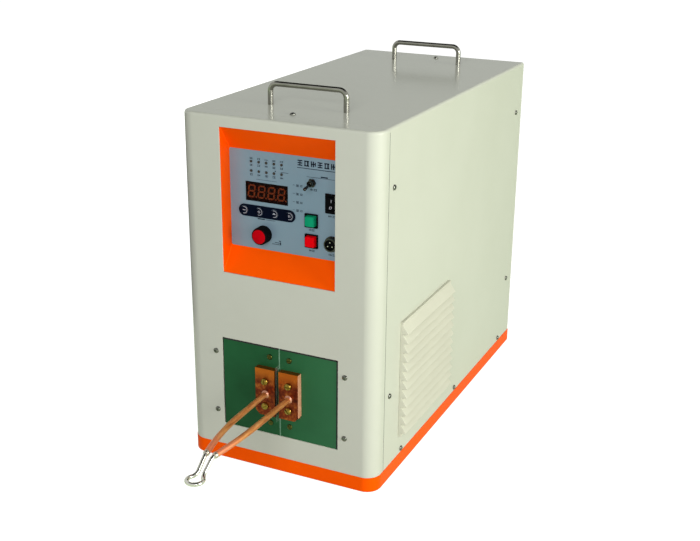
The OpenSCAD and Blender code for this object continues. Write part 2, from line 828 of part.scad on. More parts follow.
// Rocker switch: the paddle turns on two pins in the frame
rocker_proud = 1.5;
rocker_wall = 2.4;
rocker_lip = 3;
rocker_body_wall = 1;
rocker_body_d = 18;
rocker_pivot_in = 2.5;
rocker_waist = 5;
rocker_end = 6.5;
rocker_tip_in = 1;
rocker_well = 6.5;
rocker_pin_r = 1.2;
rocker_pin_len = 0.8;
paddle_w = rocker_w - 2 * rocker_wall - 2 * gap;
well_h = rocker_h - 2 * rocker_lip;
module rocker_body(ys) {
    block([rocker_x - rocker_w / 2 + rocker_body_wall, rocker_x + rocker_w / 2 - rocker_body_wall], ys,
        [on_panel(rocker_rise) - rocker_h / 2 + rocker_body_wall,
            on_panel(rocker_rise) + rocker_h / 2 - rocker_body_wall]);
}
module rocker_frame() {
    z = on_panel(rocker_rise);
    color("#101010") difference() {
        union() {
            block([rocker_x - rocker_w / 2, rocker_x + rocker_w / 2], [panel_y - rocker_proud, panel_y],
                [z - rocker_h / 2, z + rocker_h / 2]);
            rocker_body([panel_y, panel_back + rocker_body_d]);
        }
        block([rocker_x - rocker_w / 2 + rocker_wall, rocker_x + rocker_w / 2 - rocker_wall],
            [panel_y - rocker_proud - over, panel_y + rocker_pivot_in + rocker_well], [z - well_h / 2,
                z + well_h / 2]);
        rod_x(panel_y + rocker_pivot_in, z, [rocker_x - paddle_w / 2 - rocker_pin_len - gap,
            rocker_x + paddle_w / 2 + rocker_pin_len + gap], rocker_pin_r + play);
    }
}
module rocker() {
    end_h = well_h / 2 - rocker_tip_in;
    color("#181818") translate([rocker_x, panel_y + rocker_pivot_in, on_panel(rocker_rise)])
        rotate([-rocker_tilt, 0, 0]) union() {
            translate([-paddle_w / 2, 0, 0]) rotate([90, 0, 90]) linear_extrude(paddle_w)
                polygon([[-rocker_waist, 0], [-rocker_end, end_h], [0, end_h - rocker_tip_in],
                    [rocker_waist - rocker_tip_in, 0], [0, rocker_tip_in - end_h], [-rocker_end, -end_h]]);
            rod_x(0, 0, [-paddle_w / 2 - rocker_pin_len, paddle_w / 2 + rocker_pin_len], rocker_pin_r);
        }
}

// Round socket for a foot switch
socket_body_r = 6.9;
socket_shell_r = 7.2;
socket_out = 6;
socket_flange_t = 1.6;
socket_bore_r = 5.8;
socket_body_d = 10;
contact_r = 0.8;
contact_len = 4;
contact_ring_r = 3;
contacts = 4;
socket_floor_in = 3;
module foot_switch_socket() {
    z = on_panel(socket_rise);
    floor_y = panel_y + socket_floor_in;
    color("silver") union() {
        difference() {
            union() {
                rod_y(socket_x, z, [panel_y - socket_flange_t, panel_y], socket_d / 2);
                rod_y(socket_x, z, [panel_y - socket_out, panel_y], socket_shell_r);
                rod_y(socket_x, z, [panel_y, panel_back + socket_body_d], socket_body_r);
            }
            rod_y(socket_x, z, [panel_y - socket_out - over, floor_y], socket_bore_r);
        }
        for (i = [1 : contacts]) {
            turn = (i - 1 / 2) * 360 / contacts;
            rod_y(socket_x + contact_ring_r * cos(turn), z + contact_ring_r * sin(turn),
                [floor_y - contact_len, floor_y + over], contact_r);
        }
    }
}

// Lower window: insulating board, divider, terminals and coil plates
board_margin_x = 17;
board_margin_z = 9;
board_y = front_y + sheet;
board_back = board_y + board_t;
divider_t = 0.6;
divider_proud = 0.6;
divider_tab_out = 1.2;
divider_tab_rise = 5;
divider_in = 14;
plate_drop = 25.3;
plate_front = board_y - plate_t;
plate_chamfer = 5;
lead_z = up(lead_up);
plate_zs = [lead_z - plate_drop, lead_z - plate_drop + plate_h];
block_inset = 1.5;
coil_screw_rises = [-13.8, 15.7];
coil_screw_r = 2.5;
coil_screw_len = 18;
board_screw_x = 12;
board_screw_rise = 13.6;
board_screw_drop = 12.8;
board_screw_r = 2;
function coil_screw_places() = [for (side = [-1, 1]) for (rise = coil_screw_rises)
    [side * lead_pitch / 2, lead_z + rise]];
function board_screw_places() = [for (side = [-1, 1])
    for (z = [up(window_up) + board_screw_rise, up(window_up + window_h) - board_screw_drop])
        [side * board_screw_x, z]];

module terminal_block(ys) {
    block([plate_gap / 2 + block_inset, plate_gap / 2 + plate_w - block_inset], ys,
        [plate_zs[0] + block_inset, plate_zs[1] - block_inset]);
}
module terminal_board() {
    cut = [board_y - over, board_back + over];
    color("#2c5c3c") difference() {
        block([-window_w / 2 - board_margin_x, window_w / 2 + board_margin_x], [board_y, board_back],
            [up(window_up) - board_margin_z, up(window_up + window_h) + board_margin_z]);
        both_sides() terminal_block(cut);
        divider(cut);
        for (p = board_screw_places()) rod_y(p[0], p[1], cut, board_screw_r + fit);
        for (p = window_screw_places()) rod_y(p[0], p[1], cut, screw_r + fit);
    }
}
module divider(ys) {
    block([-divider_t / 2, divider_t / 2], ys, [up(window_up), up(window_up + window_h)]);
}
module divider_sheet() {
    color("white") union() {
        divider([board_y - divider_proud, board_back + divider_in]);
        block([-divider_t / 2, divider_t / 2], [plate_front - divider_tab_out, board_y],
            [plate_zs[0] - divider_tab_rise, plate_zs[1] + divider_tab_rise]);
    }
}
module terminal_blocks() {
    color("#b5652a") both_sides() difference() {
        terminal_block([board_y, winding_ys[0]]);
        for (rise = coil_screw_rises) rod_y(lead_pitch / 2, lead_z + rise,
            [board_y - over, plate_front + coil_screw_len + gap], coil_screw_r + fit);
    }
}
module coil_plates() {
    xs = [plate_gap / 2, plate_gap / 2 + plate_w];
    color("#c08048") both_sides() difference() {
        translate([0, board_y, 0]) rotate([90, 0, 0]) linear_extrude(plate_t)
            polygon([[xs[0], plate_zs[0]], [xs[1] - plate_chamfer, plate_zs[0]],
                [xs[1], plate_zs[0] + plate_chamfer], [xs[1], plate_zs[1]], [xs[0], plate_zs[1]]]);
        for (rise = coil_screw_rises)
            rod_y(lead_pitch / 2, lead_z + rise, [plate_front - over, board_y + over], coil_screw_r + fit);
        rod_y(lead_pitch / 2, lead_z, [plate_front - over, plate_front + lead_seat], lead_d / 2 + fit);
    }
}
module brass_screws() {
    head_r = 4.2;
    head_h = 3.4;
    small_head_r = 3.2;
    small_head_h = 1.8;
    color("#b09040") union() {
        for (p = coil_screw_places()) {
            rod_y(p[0], p[1], [plate_front - head_h, plate_front], head_r);
            rod_y(p[0], p[1], [plate_front, plate_front + coil_screw_len], coil_screw_r);
        }
        for (p = board_screw_places()) {
            rod_y(p[0], p[1], [board_y - small_head_h, board_y], small_head_r);
            rod_y(p[0], p[1], [board_y, board_back], board_screw_r);
        }
    }
}

// Work coil. Each half runs from its plate to the bend, in to the joint, down the shank and round the loop
lead_seat = 4;
lead_straight = 4;
joint_drop = 2.4;
shank_elbow = 3.4;
bend_soft = 4;
elbow_soft = 1.6;
neck_back = 10;
neck_rise = 1.6;
loop_open = 45;
loop_steps = 22;
tube_sides = 16;
bend_steps = 4;
joint_z = lead_z - joint_drop;
loop_z = joint_z - loop_drop;
loop_y = front_y - joint_run - loop_reach;
bend_at = [lead_end_pitch / 2, front_y - lead_run, lead_z];
joint_at = [joint_pitch / 2, front_y - joint_run, joint_z];
function unit(v) = v / norm(v);
elbow_at = joint_at + shank_elbow * unit(joint_at - bend_at);
neck_at = [neck_pitch / 2, loop_y + neck_back, loop_z + neck_rise];
function loop_point(turn) = [loop_r * sin(turn), loop_y + loop_r * cos(turn), loop_z];
loop_start = loop_point(loop_open);
// A corner rounded over a given length on either side
function corner(from, at, to, soft) = let (a = at + soft * unit(from - at), b = at + soft * unit(to - at))
    [for (i = [0 : bend_steps]) let (t = i / bend_steps) (1 - t) * (1 - t) * a + 2 * t * (1 - t) * at + t * t * b];
function mirrored(path) = [for (i = [len(path) - 1 : -1 : 0]) [-path[i][0], path[i][1], path[i][2]]];
out_at = [lead_pitch / 2, plate_front - lead_straight, lead_z];
root_at = [lead_pitch / 2, plate_front + lead_seat, lead_z];
lead_path = concat([root_at], corner(root_at, out_at, bend_at, lead_straight / 2),
    corner(out_at, bend_at, joint_at, bend_soft), [joint_at]);
shank_path = concat([joint_at], corner(joint_at, elbow_at, neck_at, elbow_soft),
    corner(elbow_at, neck_at, loop_start, elbow_soft));
loop_path = [for (i = [0 : loop_steps]) loop_point(loop_open + i * (360 - 2 * loop_open) / loop_steps)];
head_path = concat(shank_path, loop_path, mirrored(shank_path));

// A round tube along a path that never runs upright
function tangent(path, i) = let (last = len(path) - 1)
    i == 0 ? unit(path[1] - path[0]) : i == last ? unit(path[last] - path[last - 1])
    : unit(unit(path[i] - path[i - 1]) + unit(path[i + 1] - path[i]));
function ring(centre, along, r) = let (side = unit(cross(along, [0, 0, 1])), rise = cross(side, along))
    [for (k = [0 : tube_sides - 1]) let (turn = 360 * k / tube_sides)
        centre + r * cos(turn) * side + r * sin(turn) * rise];
module tube(path, r) {
    rings = len(path);
    points = [for (i = [0 : rings - 1]) each ring(path[i], tangent(path, i), r)];
    sides = [for (i = [0 : rings - 2]) for (k = [0 : tube_sides - 1])
        let (a = i * tube_sides + k, b = i * tube_sides + (k + 1) % tube_sides)
            each [[a, b, b + tube_sides], [a, b + tube_sides, a + tube_sides]]];
    near = [for (k = [1 : tube_sides - 2]) [0, k + 1, k]];
    first = (rings - 1) * tube_sides;
    far = [for (k = [1 : tube_sides - 2]) [first, first + k, first + k + 1]];
    polyhedron(points = points, faces = concat(sides, near, far));
}
turn_skip = 14;
least_gap = min([for (i = [0 : len(head_path) - 1 - turn_skip]) for (j = [i + turn_skip : len(head_path) - 1])
    norm(head_path[i] - head_path[j])]) - head_d;
echo(least_gap_in_coil_head = least_gap);

module coil_leads() {
    color("#b87333") both_sides() tube(lead_path, lead_d / 2);
}
module coil_head() {
    color("#f0f0e8") tube(head_path, head_d / 2);
}

// Output transformer behind the terminals, on a folded stand
core_w = 70;
core_h = 100;
core_d = 60;
core_leg = 20;
core_side = 10;
core_window_h = 70;
winding_t = 14;
winding_gap = 0.5;
core_gap = 29;
core_ys = [board_back + core_gap + winding_t, board_back + core_gap + winding_t + core_d];
winding_ys = [core_ys[0] - winding_t, core_ys[1] + winding_t];
stand_leg_x = 40;

module transformer_core() {
    opening_w = core_w / 2 - core_side - core_leg / 2;
    color("#303034") difference() {
        block([-core_w / 2, core_w / 2], core_ys, [lead_z - core_h / 2, lead_z + core_h / 2]);
        both_sides() block([core_leg / 2, core_leg / 2 + opening_w], [core_ys[0] - over, core_ys[1] + over],
            [lead_z - core_window_h / 2, lead_z + core_window_h / 2]);
    }
}
module transformer_winding() {
    outer = core_w / 2 - core_side - winding_gap;
    inner = core_leg / 2 + winding_gap;
    half_h = core_window_h / 2 - winding_gap;
    color("#b5652a") difference() {
        block([-outer, outer], winding_ys, [lead_z - half_h, lead_z + half_h]);
        block([-inner, inner], [core_ys[0] - winding_gap, core_ys[1] + winding_gap],
            [lead_z - half_h - over, lead_z + half_h + over]);
    }
}
module transformer_stand() {
    top = lead_z - core_h / 2;
    color("lightgray") difference() {
        block([-stand_leg_x, stand_leg_x], core_ys, [floor_z, top]);
        block([sheet - stand_leg_x, stand_leg_x - sheet], [core_ys[0] - over, core_ys[1] + over], [0,
            top - sheet]);
    }
}

// Places of the water-cooled block and of its hoses
hose_x = 44;
hose_up = 87;
hose_r = 5;
hose_bore_r = 3;
hose_bend_r = 12;
sink_w = 110;
sink_d = 120;
sink_up = 101.5;
sink_back = 74;
sink_ys = [rear_plate_y - sink_back - sink_d, rear_plate_y - sink_back];

// Resonant capacitors on the tray
capacitor_w = 38;
capacitor_h = 58;
capacitor_space = 6;
capacitor_margin = 20;
terminal_r = 3;
terminal_h = 6;
capacitor_d = (sink_ys[0] - winding_ys[1] - 2 * capacitor_margin - capacitor_space) / 2;
module capacitor_bank() {
    color("#e8e4d8") for (column = [-1, 0, 1]) for (row = [0, 1]) {
        x = column * (capacitor_w + capacitor_space);
        y = winding_ys[1] + capacitor_margin + row * (capacitor_d + capacitor_space);
        union() {
            block([x - capacitor_w / 2, x + capacitor_w / 2], [y, y + capacitor_d], [floor_z,
                floor_z + capacitor_h]);
            rod_z(x, y + capacitor_d / 2, [floor_z + capacitor_h, floor_z + capacitor_h + terminal_h],
                terminal_r);
        }
    }
}

// Water-cooled block with the power modules on top, and the hoses to it
port_depth = 12;
module_w = 34;
module_d = 90;
module_h = 24;
module_space = 3;
module power_heat_sink() {
    color("silver") difference() {
        block([-sink_w / 2, sink_w / 2], sink_ys, [floor_z, up(sink_up)]);
        for (side = [-1, 1]) for (ys = [[sink_ys[0] - over, sink_ys[0] + port_depth],
            [sink_ys[1] - port_depth, sink_ys[1] + over]])
                rod_y(side * hose_x, up(hose_up), ys, hose_bore_r);
    }
}
module power_modules() {
    color("#202428") for (column = [-1, 0, 1]) {
        x = column * (module_w + module_space);
        block([x - module_w / 2, x + module_w / 2],
            [(sink_ys[0] + sink_ys[1] - module_d) / 2, (sink_ys[0] + sink_ys[1] + module_d) / 2],
            [up(sink_up), up(sink_up) + module_h]);
    }
}
module hose_elbow(r) {
    translate([hose_x - hose_bend_r, elbow_y, up(hose_up)]) rotate([0, 0, -90])
        rotate_extrude(angle = 90) translate([hose_bend_r, 0]) circle(r);
}
elbow_y = board_back + hose_bend_r + core_gap / 4;
module hose(r, grow) {
    rod_y(hose_x, up(hose_up), [elbow_y, sink_ys[0] + grow], r);
    hose_elbow(r);
    rod_x(elbow_y - hose_bend_r, up(hose_up),
        [plate_gap / 2 + plate_w - block_inset - grow, hose_x - hose_bend_r], r);
    rod_y(hose_x, up(hose_up), [sink_ys[1] - grow, rear_plate_y - fitting_in + grow], r);
}
module cooling_hoses() {
    color("#3060a0") both_sides() difference() {
        hose(hose_r, 0);
        hose(hose_bore_r, over);
    }
}
fitting_in = 12;
nipple_hex_r = 9;
nipple_hex_t = 6;
nipple_chamfer = 1;
module water_nipples() {
    back = rear_plate_y + sheet;
    color("#b09040") for (side = [-1, 1]) difference() {
        union() {
            rod_y(side * hose_x, up(hose_up), [rear_plate_y - fitting_in,
                rear_y + nipple_out - nipple_chamfer],
                nipple_d / 2);
            translate([side * hose_x, rear_y + nipple_out - nipple_chamfer, up(hose_up)]) rotate([-90, 0, 0])
                cylinder(h = nipple_chamfer, r1 = nipple_d / 2, r2 = nipple_d / 2 - nipple_chamfer);
            hex_y(side * hose_x, up(hose_up), [back, back + nipple_hex_t], nipple_hex_r);
            hex_y(side * hose_x, up(hose_up), [rear_plate_y - nipple_hex_t, rear_plate_y], nipple_hex_r);
        }
        rod_y(side * hose_x, up(hose_up), [rear_plate_y - fitting_in - over, rear_y + nipple_out + over],
            hose_bore_r);
    }
}

// Power board with its large capacitors, on posts on the shelf
power_pcb_in = 19;
power_pcb_back = 90;
power_pcb_w = shelf_w - 2 * power_pcb_in;
post_h = 8;
post_r = 4;
post_in = 8;
can_r = 17.5;
can_h = 50;
can_pitch = 40;
can_y_share = 0.3;
choke_w = 60;
choke_h = 42;
power_pcb_ys = [front_y + shelf_front + shelf_hole_margin, rear_y - shelf_back - power_pcb_back];
power_pcb_d = power_pcb_ys[1] - power_pcb_ys[0];
function power_post_places() = [for (side = [-1, 1]) for (y = [power_pcb_ys[0] + post_in,
    power_pcb_ys[1] - post_in])
    [side * (power_pcb_w / 2 - post_in), y]];
module power_board() {
    pcb_z = up(shelf_up) + post_h;
    color("darkgreen") union() {
        block([-power_pcb_w / 2, power_pcb_w / 2], power_pcb_ys, [pcb_z, pcb_z + pcb_t]);
        for (p = power_post_places()) {
            rod_z(p[0], p[1], [up(shelf_up), pcb_z], post_r);
            rod_z(p[0], p[1], [up(shelf_up) - sheet, up(shelf_up)], screw_r);
        }
        for (column = [-1, 0, 1])
            rod_z(column * can_pitch, power_pcb_ys[0] + can_y_share * power_pcb_d,
                [pcb_z + pcb_t, pcb_z + pcb_t + can_h], can_r);
        block([-choke_w / 2, choke_w / 2], [power_pcb_ys[1] - choke_w - post_in, power_pcb_ys[1] - post_in],
            [pcb_z + pcb_t, pcb_z + pcb_t + choke_h]);
    }
}

// Fan behind the rear panel
fan_rim = 4;
fan_corner = 7.5;
fan_screw_r = 2;
fan_hub_r = 18;
fan_hub_t = 7;
fan_strut_w = 5;
fan_strut_t = 3;
spindle_r = 2;
blades = 7;
blade_t = 1.8;
blade_chord = 15;
blade_pitch = 35;
blade_gap = 2.5;
rotor_t = 14;
fan_up = case_h - fan_down;
fan_ys = [rear_plate_y - fan_d, rear_plate_y];
rotor_y = fan_ys[0] + fan_hub_t + gap;
function fan_screw_places() = [for (side = [-1, 1]) for (level = [-1, 1])
    [side * (fan_w / 2 - fan_corner), up(fan_up) + level * (fan_w / 2 - fan_corner)]];
module fan_frame() {
    z = up(fan_up);
    color("#181818") union() {
        difference() {
            block([-fan_w / 2, fan_w / 2], fan_ys, [z - fan_w / 2, z + fan_w / 2]);
            rod_y(0, z, [fan_ys[0] - over, fan_ys[1] + over], fan_w / 2 - fan_rim);
            for (p = fan_screw_places()) rod_y(p[0], p[1], [fan_ys[0] - over, fan_ys[1] + over],
                fan_screw_r + fit);
        }
        rod_y(0, z, [fan_ys[0], fan_ys[0] + fan_hub_t], fan_hub_r);
        rod_y(0, z, [fan_ys[0], rotor_y + rotor_t], spindle_r);
        intersection() {
            union() {
                block([-fan_w / 2, fan_w / 2], [fan_ys[0], fan_ys[0] + fan_strut_t],
                    [z - fan_strut_w / 2, z + fan_strut_w / 2]);
                block([-fan_strut_w / 2, fan_strut_w / 2], [fan_ys[0], fan_ys[0] + fan_strut_t],
                    [z - fan_w / 2, z + fan_w / 2]);
            }
            rod_y(0, z, [fan_ys[0] - over, fan_ys[1]], fan_w / 2 - fan_rim / 2);
        }
    }
}
module fan_rotor() {
    z = up(fan_up);
    blade_r = fan_w / 2 - fan_rim - blade_gap;
    color("#282828") difference() {
        union() {
            rod_y(0, z, [rotor_y, rotor_y + rotor_t], fan_hub_r);
            for (i = [0 : blades - 1])
                translate([0, rotor_y + rotor_t / 2, z]) rotate([0, i * 360 / blades,
                    0]) rotate([blade_pitch, 0, 0])
                    block([fan_hub_r - over, blade_r], [-blade_t / 2, blade_t / 2], [-blade_chord / 2,
                        blade_chord / 2]);
        }
        rod_y(0, z, [rotor_y - over, rotor_y + rotor_t + over], spindle_r + play);
    }
}
guard_wire_r = 1;
guard_rings = 5;
guard_lug_r = 5;
guard_lug_t = 1.5;
fan_screw_head_r = 3.6;
fan_screw_head_h = 2.2;
module fan_guard() {
    z = up(fan_up);
    plate_y = rear_plate_y + sheet;
    bar_end = (fan_w / 2 - fan_corner) * sqrt(2) - fan_screw_head_r - gap;
    color("silver") difference() {
        union() {
            for (i = [1 : guard_rings])
                translate([0, plate_y + guard_lug_t + guard_wire_r, z]) rotate([90, 0, 0]) rotate_extrude()
                    translate([i * (fan_w / 2 - fan_rim) / guard_rings, 0]) circle(guard_wire_r, $fn = 16);
            for (p = fan_screw_places()) rod_y(p[0], p[1], [plate_y, plate_y + guard_lug_t], guard_lug_r);
            for (turn = [45, -45]) translate([0, plate_y, z]) rotate([0, turn, 0])
                block([-bar_end, bar_end], [0, guard_lug_t + guard_wire_r], [-guard_wire_r, guard_wire_r]);
        }
        for (p = fan_screw_places()) rod_y(p[0], p[1], [plate_y - over, plate_y + guard_lug_t + over],
            fan_screw_r + fit);
    }
}
module fan_screws() {
    plate_y = rear_plate_y + sheet + guard_lug_t;
    color("silver") for (p = fan_screw_places()) union() {
        rod_y(p[0], p[1], [fan_ys[0], plate_y], fan_screw_r);
        rod_y(p[0], p[1], [plate_y, plate_y + fan_screw_head_h], fan_screw_head_r);
    }
}

// Mains cable gland and earth stud
gland_in_x = 36;
gland_x = half_w - gland_in_x;
gland_up = 62;
gland_r = 10;
gland_hex_r = 15;
gland_hex_t = 7;
gland_dome_r = 12;
gland_out = 22;
gland_in = 10;
locknut_t = 4;
earth_up = 112;
earth_r = 3;
earth_nut_r = 5.8;
earth_nut_t = 5;
earth_out = 18;
module cable_gland() {
    back = rear_plate_y + sheet;
    z = up(gland_up);
    color("#303030") union() {
        difference() {
            union() {
                rod_y(gland_x, z, [rear_plate_y - gland_in, back + over], gland_r);
                hex_y(gland_x, z, [back, back + gland_hex_t], gland_hex_r);
                rod_y(gland_x, z, [back + gland_hex_t, back + gland_out], gland_dome_r);
                hex_y(gland_x, z, [rear_plate_y - locknut_t, rear_plate_y], gland_hex_r);
            }
            rod_y(gland_x, z, [rear_plate_y - gland_in - over, back + gland_out + over], gland_bore_d / 2);
        }
    }
}
module earth_stud() {
    back = rear_plate_y + sheet;
    z = up(earth_up);
    color("#b09040") union() {
        rod_y(gland_x, z, [rear_plate_y - earth_nut_t, back + earth_out], earth_r);
        hex_y(gland_x, z, [rear_plate_y - earth_nut_t, rear_plate_y], earth_nut_r);
        hex_y(gland_x, z, [back, back + earth_nut_t], earth_nut_r);
    }
}

base_tray();
rubber_feet();
foot_screws();
front_fascia();
wrap_cover();
rear_panel();
left_grille();
right_grille();
case_screws();
front_handle();
rear_handle();
handle_nuts();
equipment_shelf();
transformer_stand();
panel_recess();
control_panel();
display_housing();
display_digits();
display_window();
key_strip();
key_1();
key_2();
key_3();
key_4();
control_board();
indicator_leds();
potentiometer();
knob_shaft();
power_knob();
knob_cap();
button_bases();
start_button();
stop_button();
toggle_body();
toggle_lever();
rocker_frame();
rocker();
foot_switch_socket();
terminal_board();
divider_sheet();
terminal_blocks();
coil_plates();
coil_leads();
coil_head();
brass_screws();
transformer_core();
transformer_winding();
capacitor_bank();
power_heat_sink();
power_modules();
power_board();
fan_frame();
fan_rotor();
fan_guard();
fan_screws();
water_nipples();
cooling_hoses();
cable_gland();
earth_stud();
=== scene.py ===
"""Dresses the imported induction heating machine: case, control panel, work coil and rear fittings."""

import math
from contextlib import contextmanager

import bmesh
import bpy
from mathutils import Matrix, Vector


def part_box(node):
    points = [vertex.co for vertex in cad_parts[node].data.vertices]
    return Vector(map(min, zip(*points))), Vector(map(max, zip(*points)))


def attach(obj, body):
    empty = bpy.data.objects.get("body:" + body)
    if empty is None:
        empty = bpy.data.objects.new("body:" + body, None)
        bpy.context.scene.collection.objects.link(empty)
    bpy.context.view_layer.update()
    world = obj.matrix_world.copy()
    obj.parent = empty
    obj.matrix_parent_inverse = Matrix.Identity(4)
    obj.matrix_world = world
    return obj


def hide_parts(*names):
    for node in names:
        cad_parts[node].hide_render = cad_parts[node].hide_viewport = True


bl_info = {
    "name": "Induction heating machine",
    "version": (1, 0, 0),
    "blender": (4, 5, 0),
    "location": "3D Viewport > Sidebar > Heater",
    "description": "Models the looks of a box-shaped induction heating machine",
    "category": "Object",
}

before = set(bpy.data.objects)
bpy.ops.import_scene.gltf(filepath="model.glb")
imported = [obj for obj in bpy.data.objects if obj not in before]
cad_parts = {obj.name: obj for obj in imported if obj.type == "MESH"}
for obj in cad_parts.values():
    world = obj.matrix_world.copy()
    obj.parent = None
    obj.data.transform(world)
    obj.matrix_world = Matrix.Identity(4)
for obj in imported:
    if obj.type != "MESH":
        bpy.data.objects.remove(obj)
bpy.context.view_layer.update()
MM = 0.001
UP = Vector((0, 0, 1))
FORWARD = Vector((0, -1, 0))
BACKWARD = Vector((0, 1, 0))
ASIDE = Vector((1, 0, 0))


def span(node):
    """Lowest and highest corner of a CAD node, in millimetres."""
    low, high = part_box(node)
    return low / MM, high / MM


FASCIA = span("front_fascia")
COVER = span("wrap_cover")
TRAY = span("base_tray")
PANEL = span("control_panel")
RECESS = span("panel_recess")
PLATES = span("coil_plates")
FRONT = FASCIA[0].y
REAR = COVER[1].y
HALF = COVER[1].x
TOP = COVER[1].z
BAND = COVER[0].z
PANEL_FACE = PANEL[0].y
SHEET = 1.5
RECESS_WALL = 1.2


# Colours and finishes


def linear(code):
    """An sRGB hex colour as linear red, green and blue."""
    shares = [int(code[i : i + 2], 16) / 255 for i in (0, 2, 4)]
    return [s / 12.92 if s <= 0.04045 else ((s + 0.055) / 1.055) ** 2.4 for s in shares]


def rgba(colour):
    return (*colour[:3], 1)


def add(tree, kind, values=None, links=None, stops=(), **settings):
    """Adds one shader node with its settings, input values, links and the stops of its colour ramp."""
    node = tree.nodes.new("ShaderNode" + kind)
    for at, colour in stops:
        stop = node.color_ramp.elements.new(at)
        stop.color = rgba(colour)
    if stops:
        node.color_ramp.elements.remove(node.color_ramp.elements[0])
        node.color_ramp.elements.remove(node.color_ramp.elements[-1])
    for name, value in settings.items():
        setattr(node, name, value)
    for name, value in (values or {}).items():
        node.inputs[name].default_value = value
    for name, output in (links or {}).items():
        tree.links.new(output, node.inputs[name])
    return node


def blank(name):
    material = bpy.data.materials.new(name)
    material.use_nodes = True
    material.node_tree.nodes.clear()
    return material, material.node_tree


def levels(low, high, first, last):
    """Values of a range that turns low to high into first to last."""
    return {"From Min": low, "From Max": high, "To Min": first, "To Max": last}


def inputs(colour, gloss, bump):
    """Links from the three nodes that shape a surface to its shader."""
    colour, rough, normal = colour.outputs["Color"], gloss.outputs["Result"], bump.outputs["Normal"]
    return {"Base Color": colour, "Roughness": rough, "Normal": normal}


WORN_SHARE = 0.35


def surface(
    name, colour, worn, patch, rough, grain, relief,
    stretch=(1, 1, 1), metallic=0.0, ior=1.5, coat=0.0, sheen=0.0, alpha=1.0, specular=0.2,
):
    """A finish with soft patches of a second colour and a fine relief. Patch, grain and relief are in millimetres."""
    material, tree = blank(name)
    place = add(tree, "TexCoord").outputs["Object"]
    drawn = add(tree, "Mapping", {"Scale": stretch}, {"Vector": place}).outputs["Vector"]
    patches = add(tree, "TexNoise", {"Scale": 1 / (patch * MM), "Detail": 4, "Roughness": 0.6}, {"Vector": drawn})
    fine = add(tree, "TexNoise", {"Scale": 1 / (grain * MM), "Detail": 3, "Roughness": 0.5}, {"Vector": drawn})
    stops = [(0.5 - WORN_SHARE, worn), (0.5 + WORN_SHARE * 0.5, colour)]
    colours = add(tree, "ValToRGB", links={"Fac": patches.outputs["Fac"]}, stops=stops)
    gloss = add(tree, "MapRange", levels(0.3, 0.7, *rough), {"Value": patches.outputs["Fac"]})
    bump = add(tree, "Bump", {"Strength": 1, "Distance": relief * MM}, {"Height": fine.outputs["Fac"]})
    values = {"Metallic": metallic, "IOR": ior, "Coat Weight": coat, "Coat Roughness": 0.1, "Sheen Weight": sheen}
    values |= {"Alpha": alpha, "Specular IOR Level": 0.5 if metallic == 1 else specular}
    shader = add(tree, "BsdfPrincipled", values, inputs(colours, gloss, bump))
    add(tree, "OutputMaterial", links={"Surface": shader.outputs["BSDF"]})
    return material


def row(colour, worn, patch, rough, grain, relief, **more):
    """A finish by its colours, its least and most roughness, and the sizes of its texture in millimetres."""
    return dict(colour=colour, worn=worn, patch=patch, rough=rough, grain=grain, relief=relief, **more)


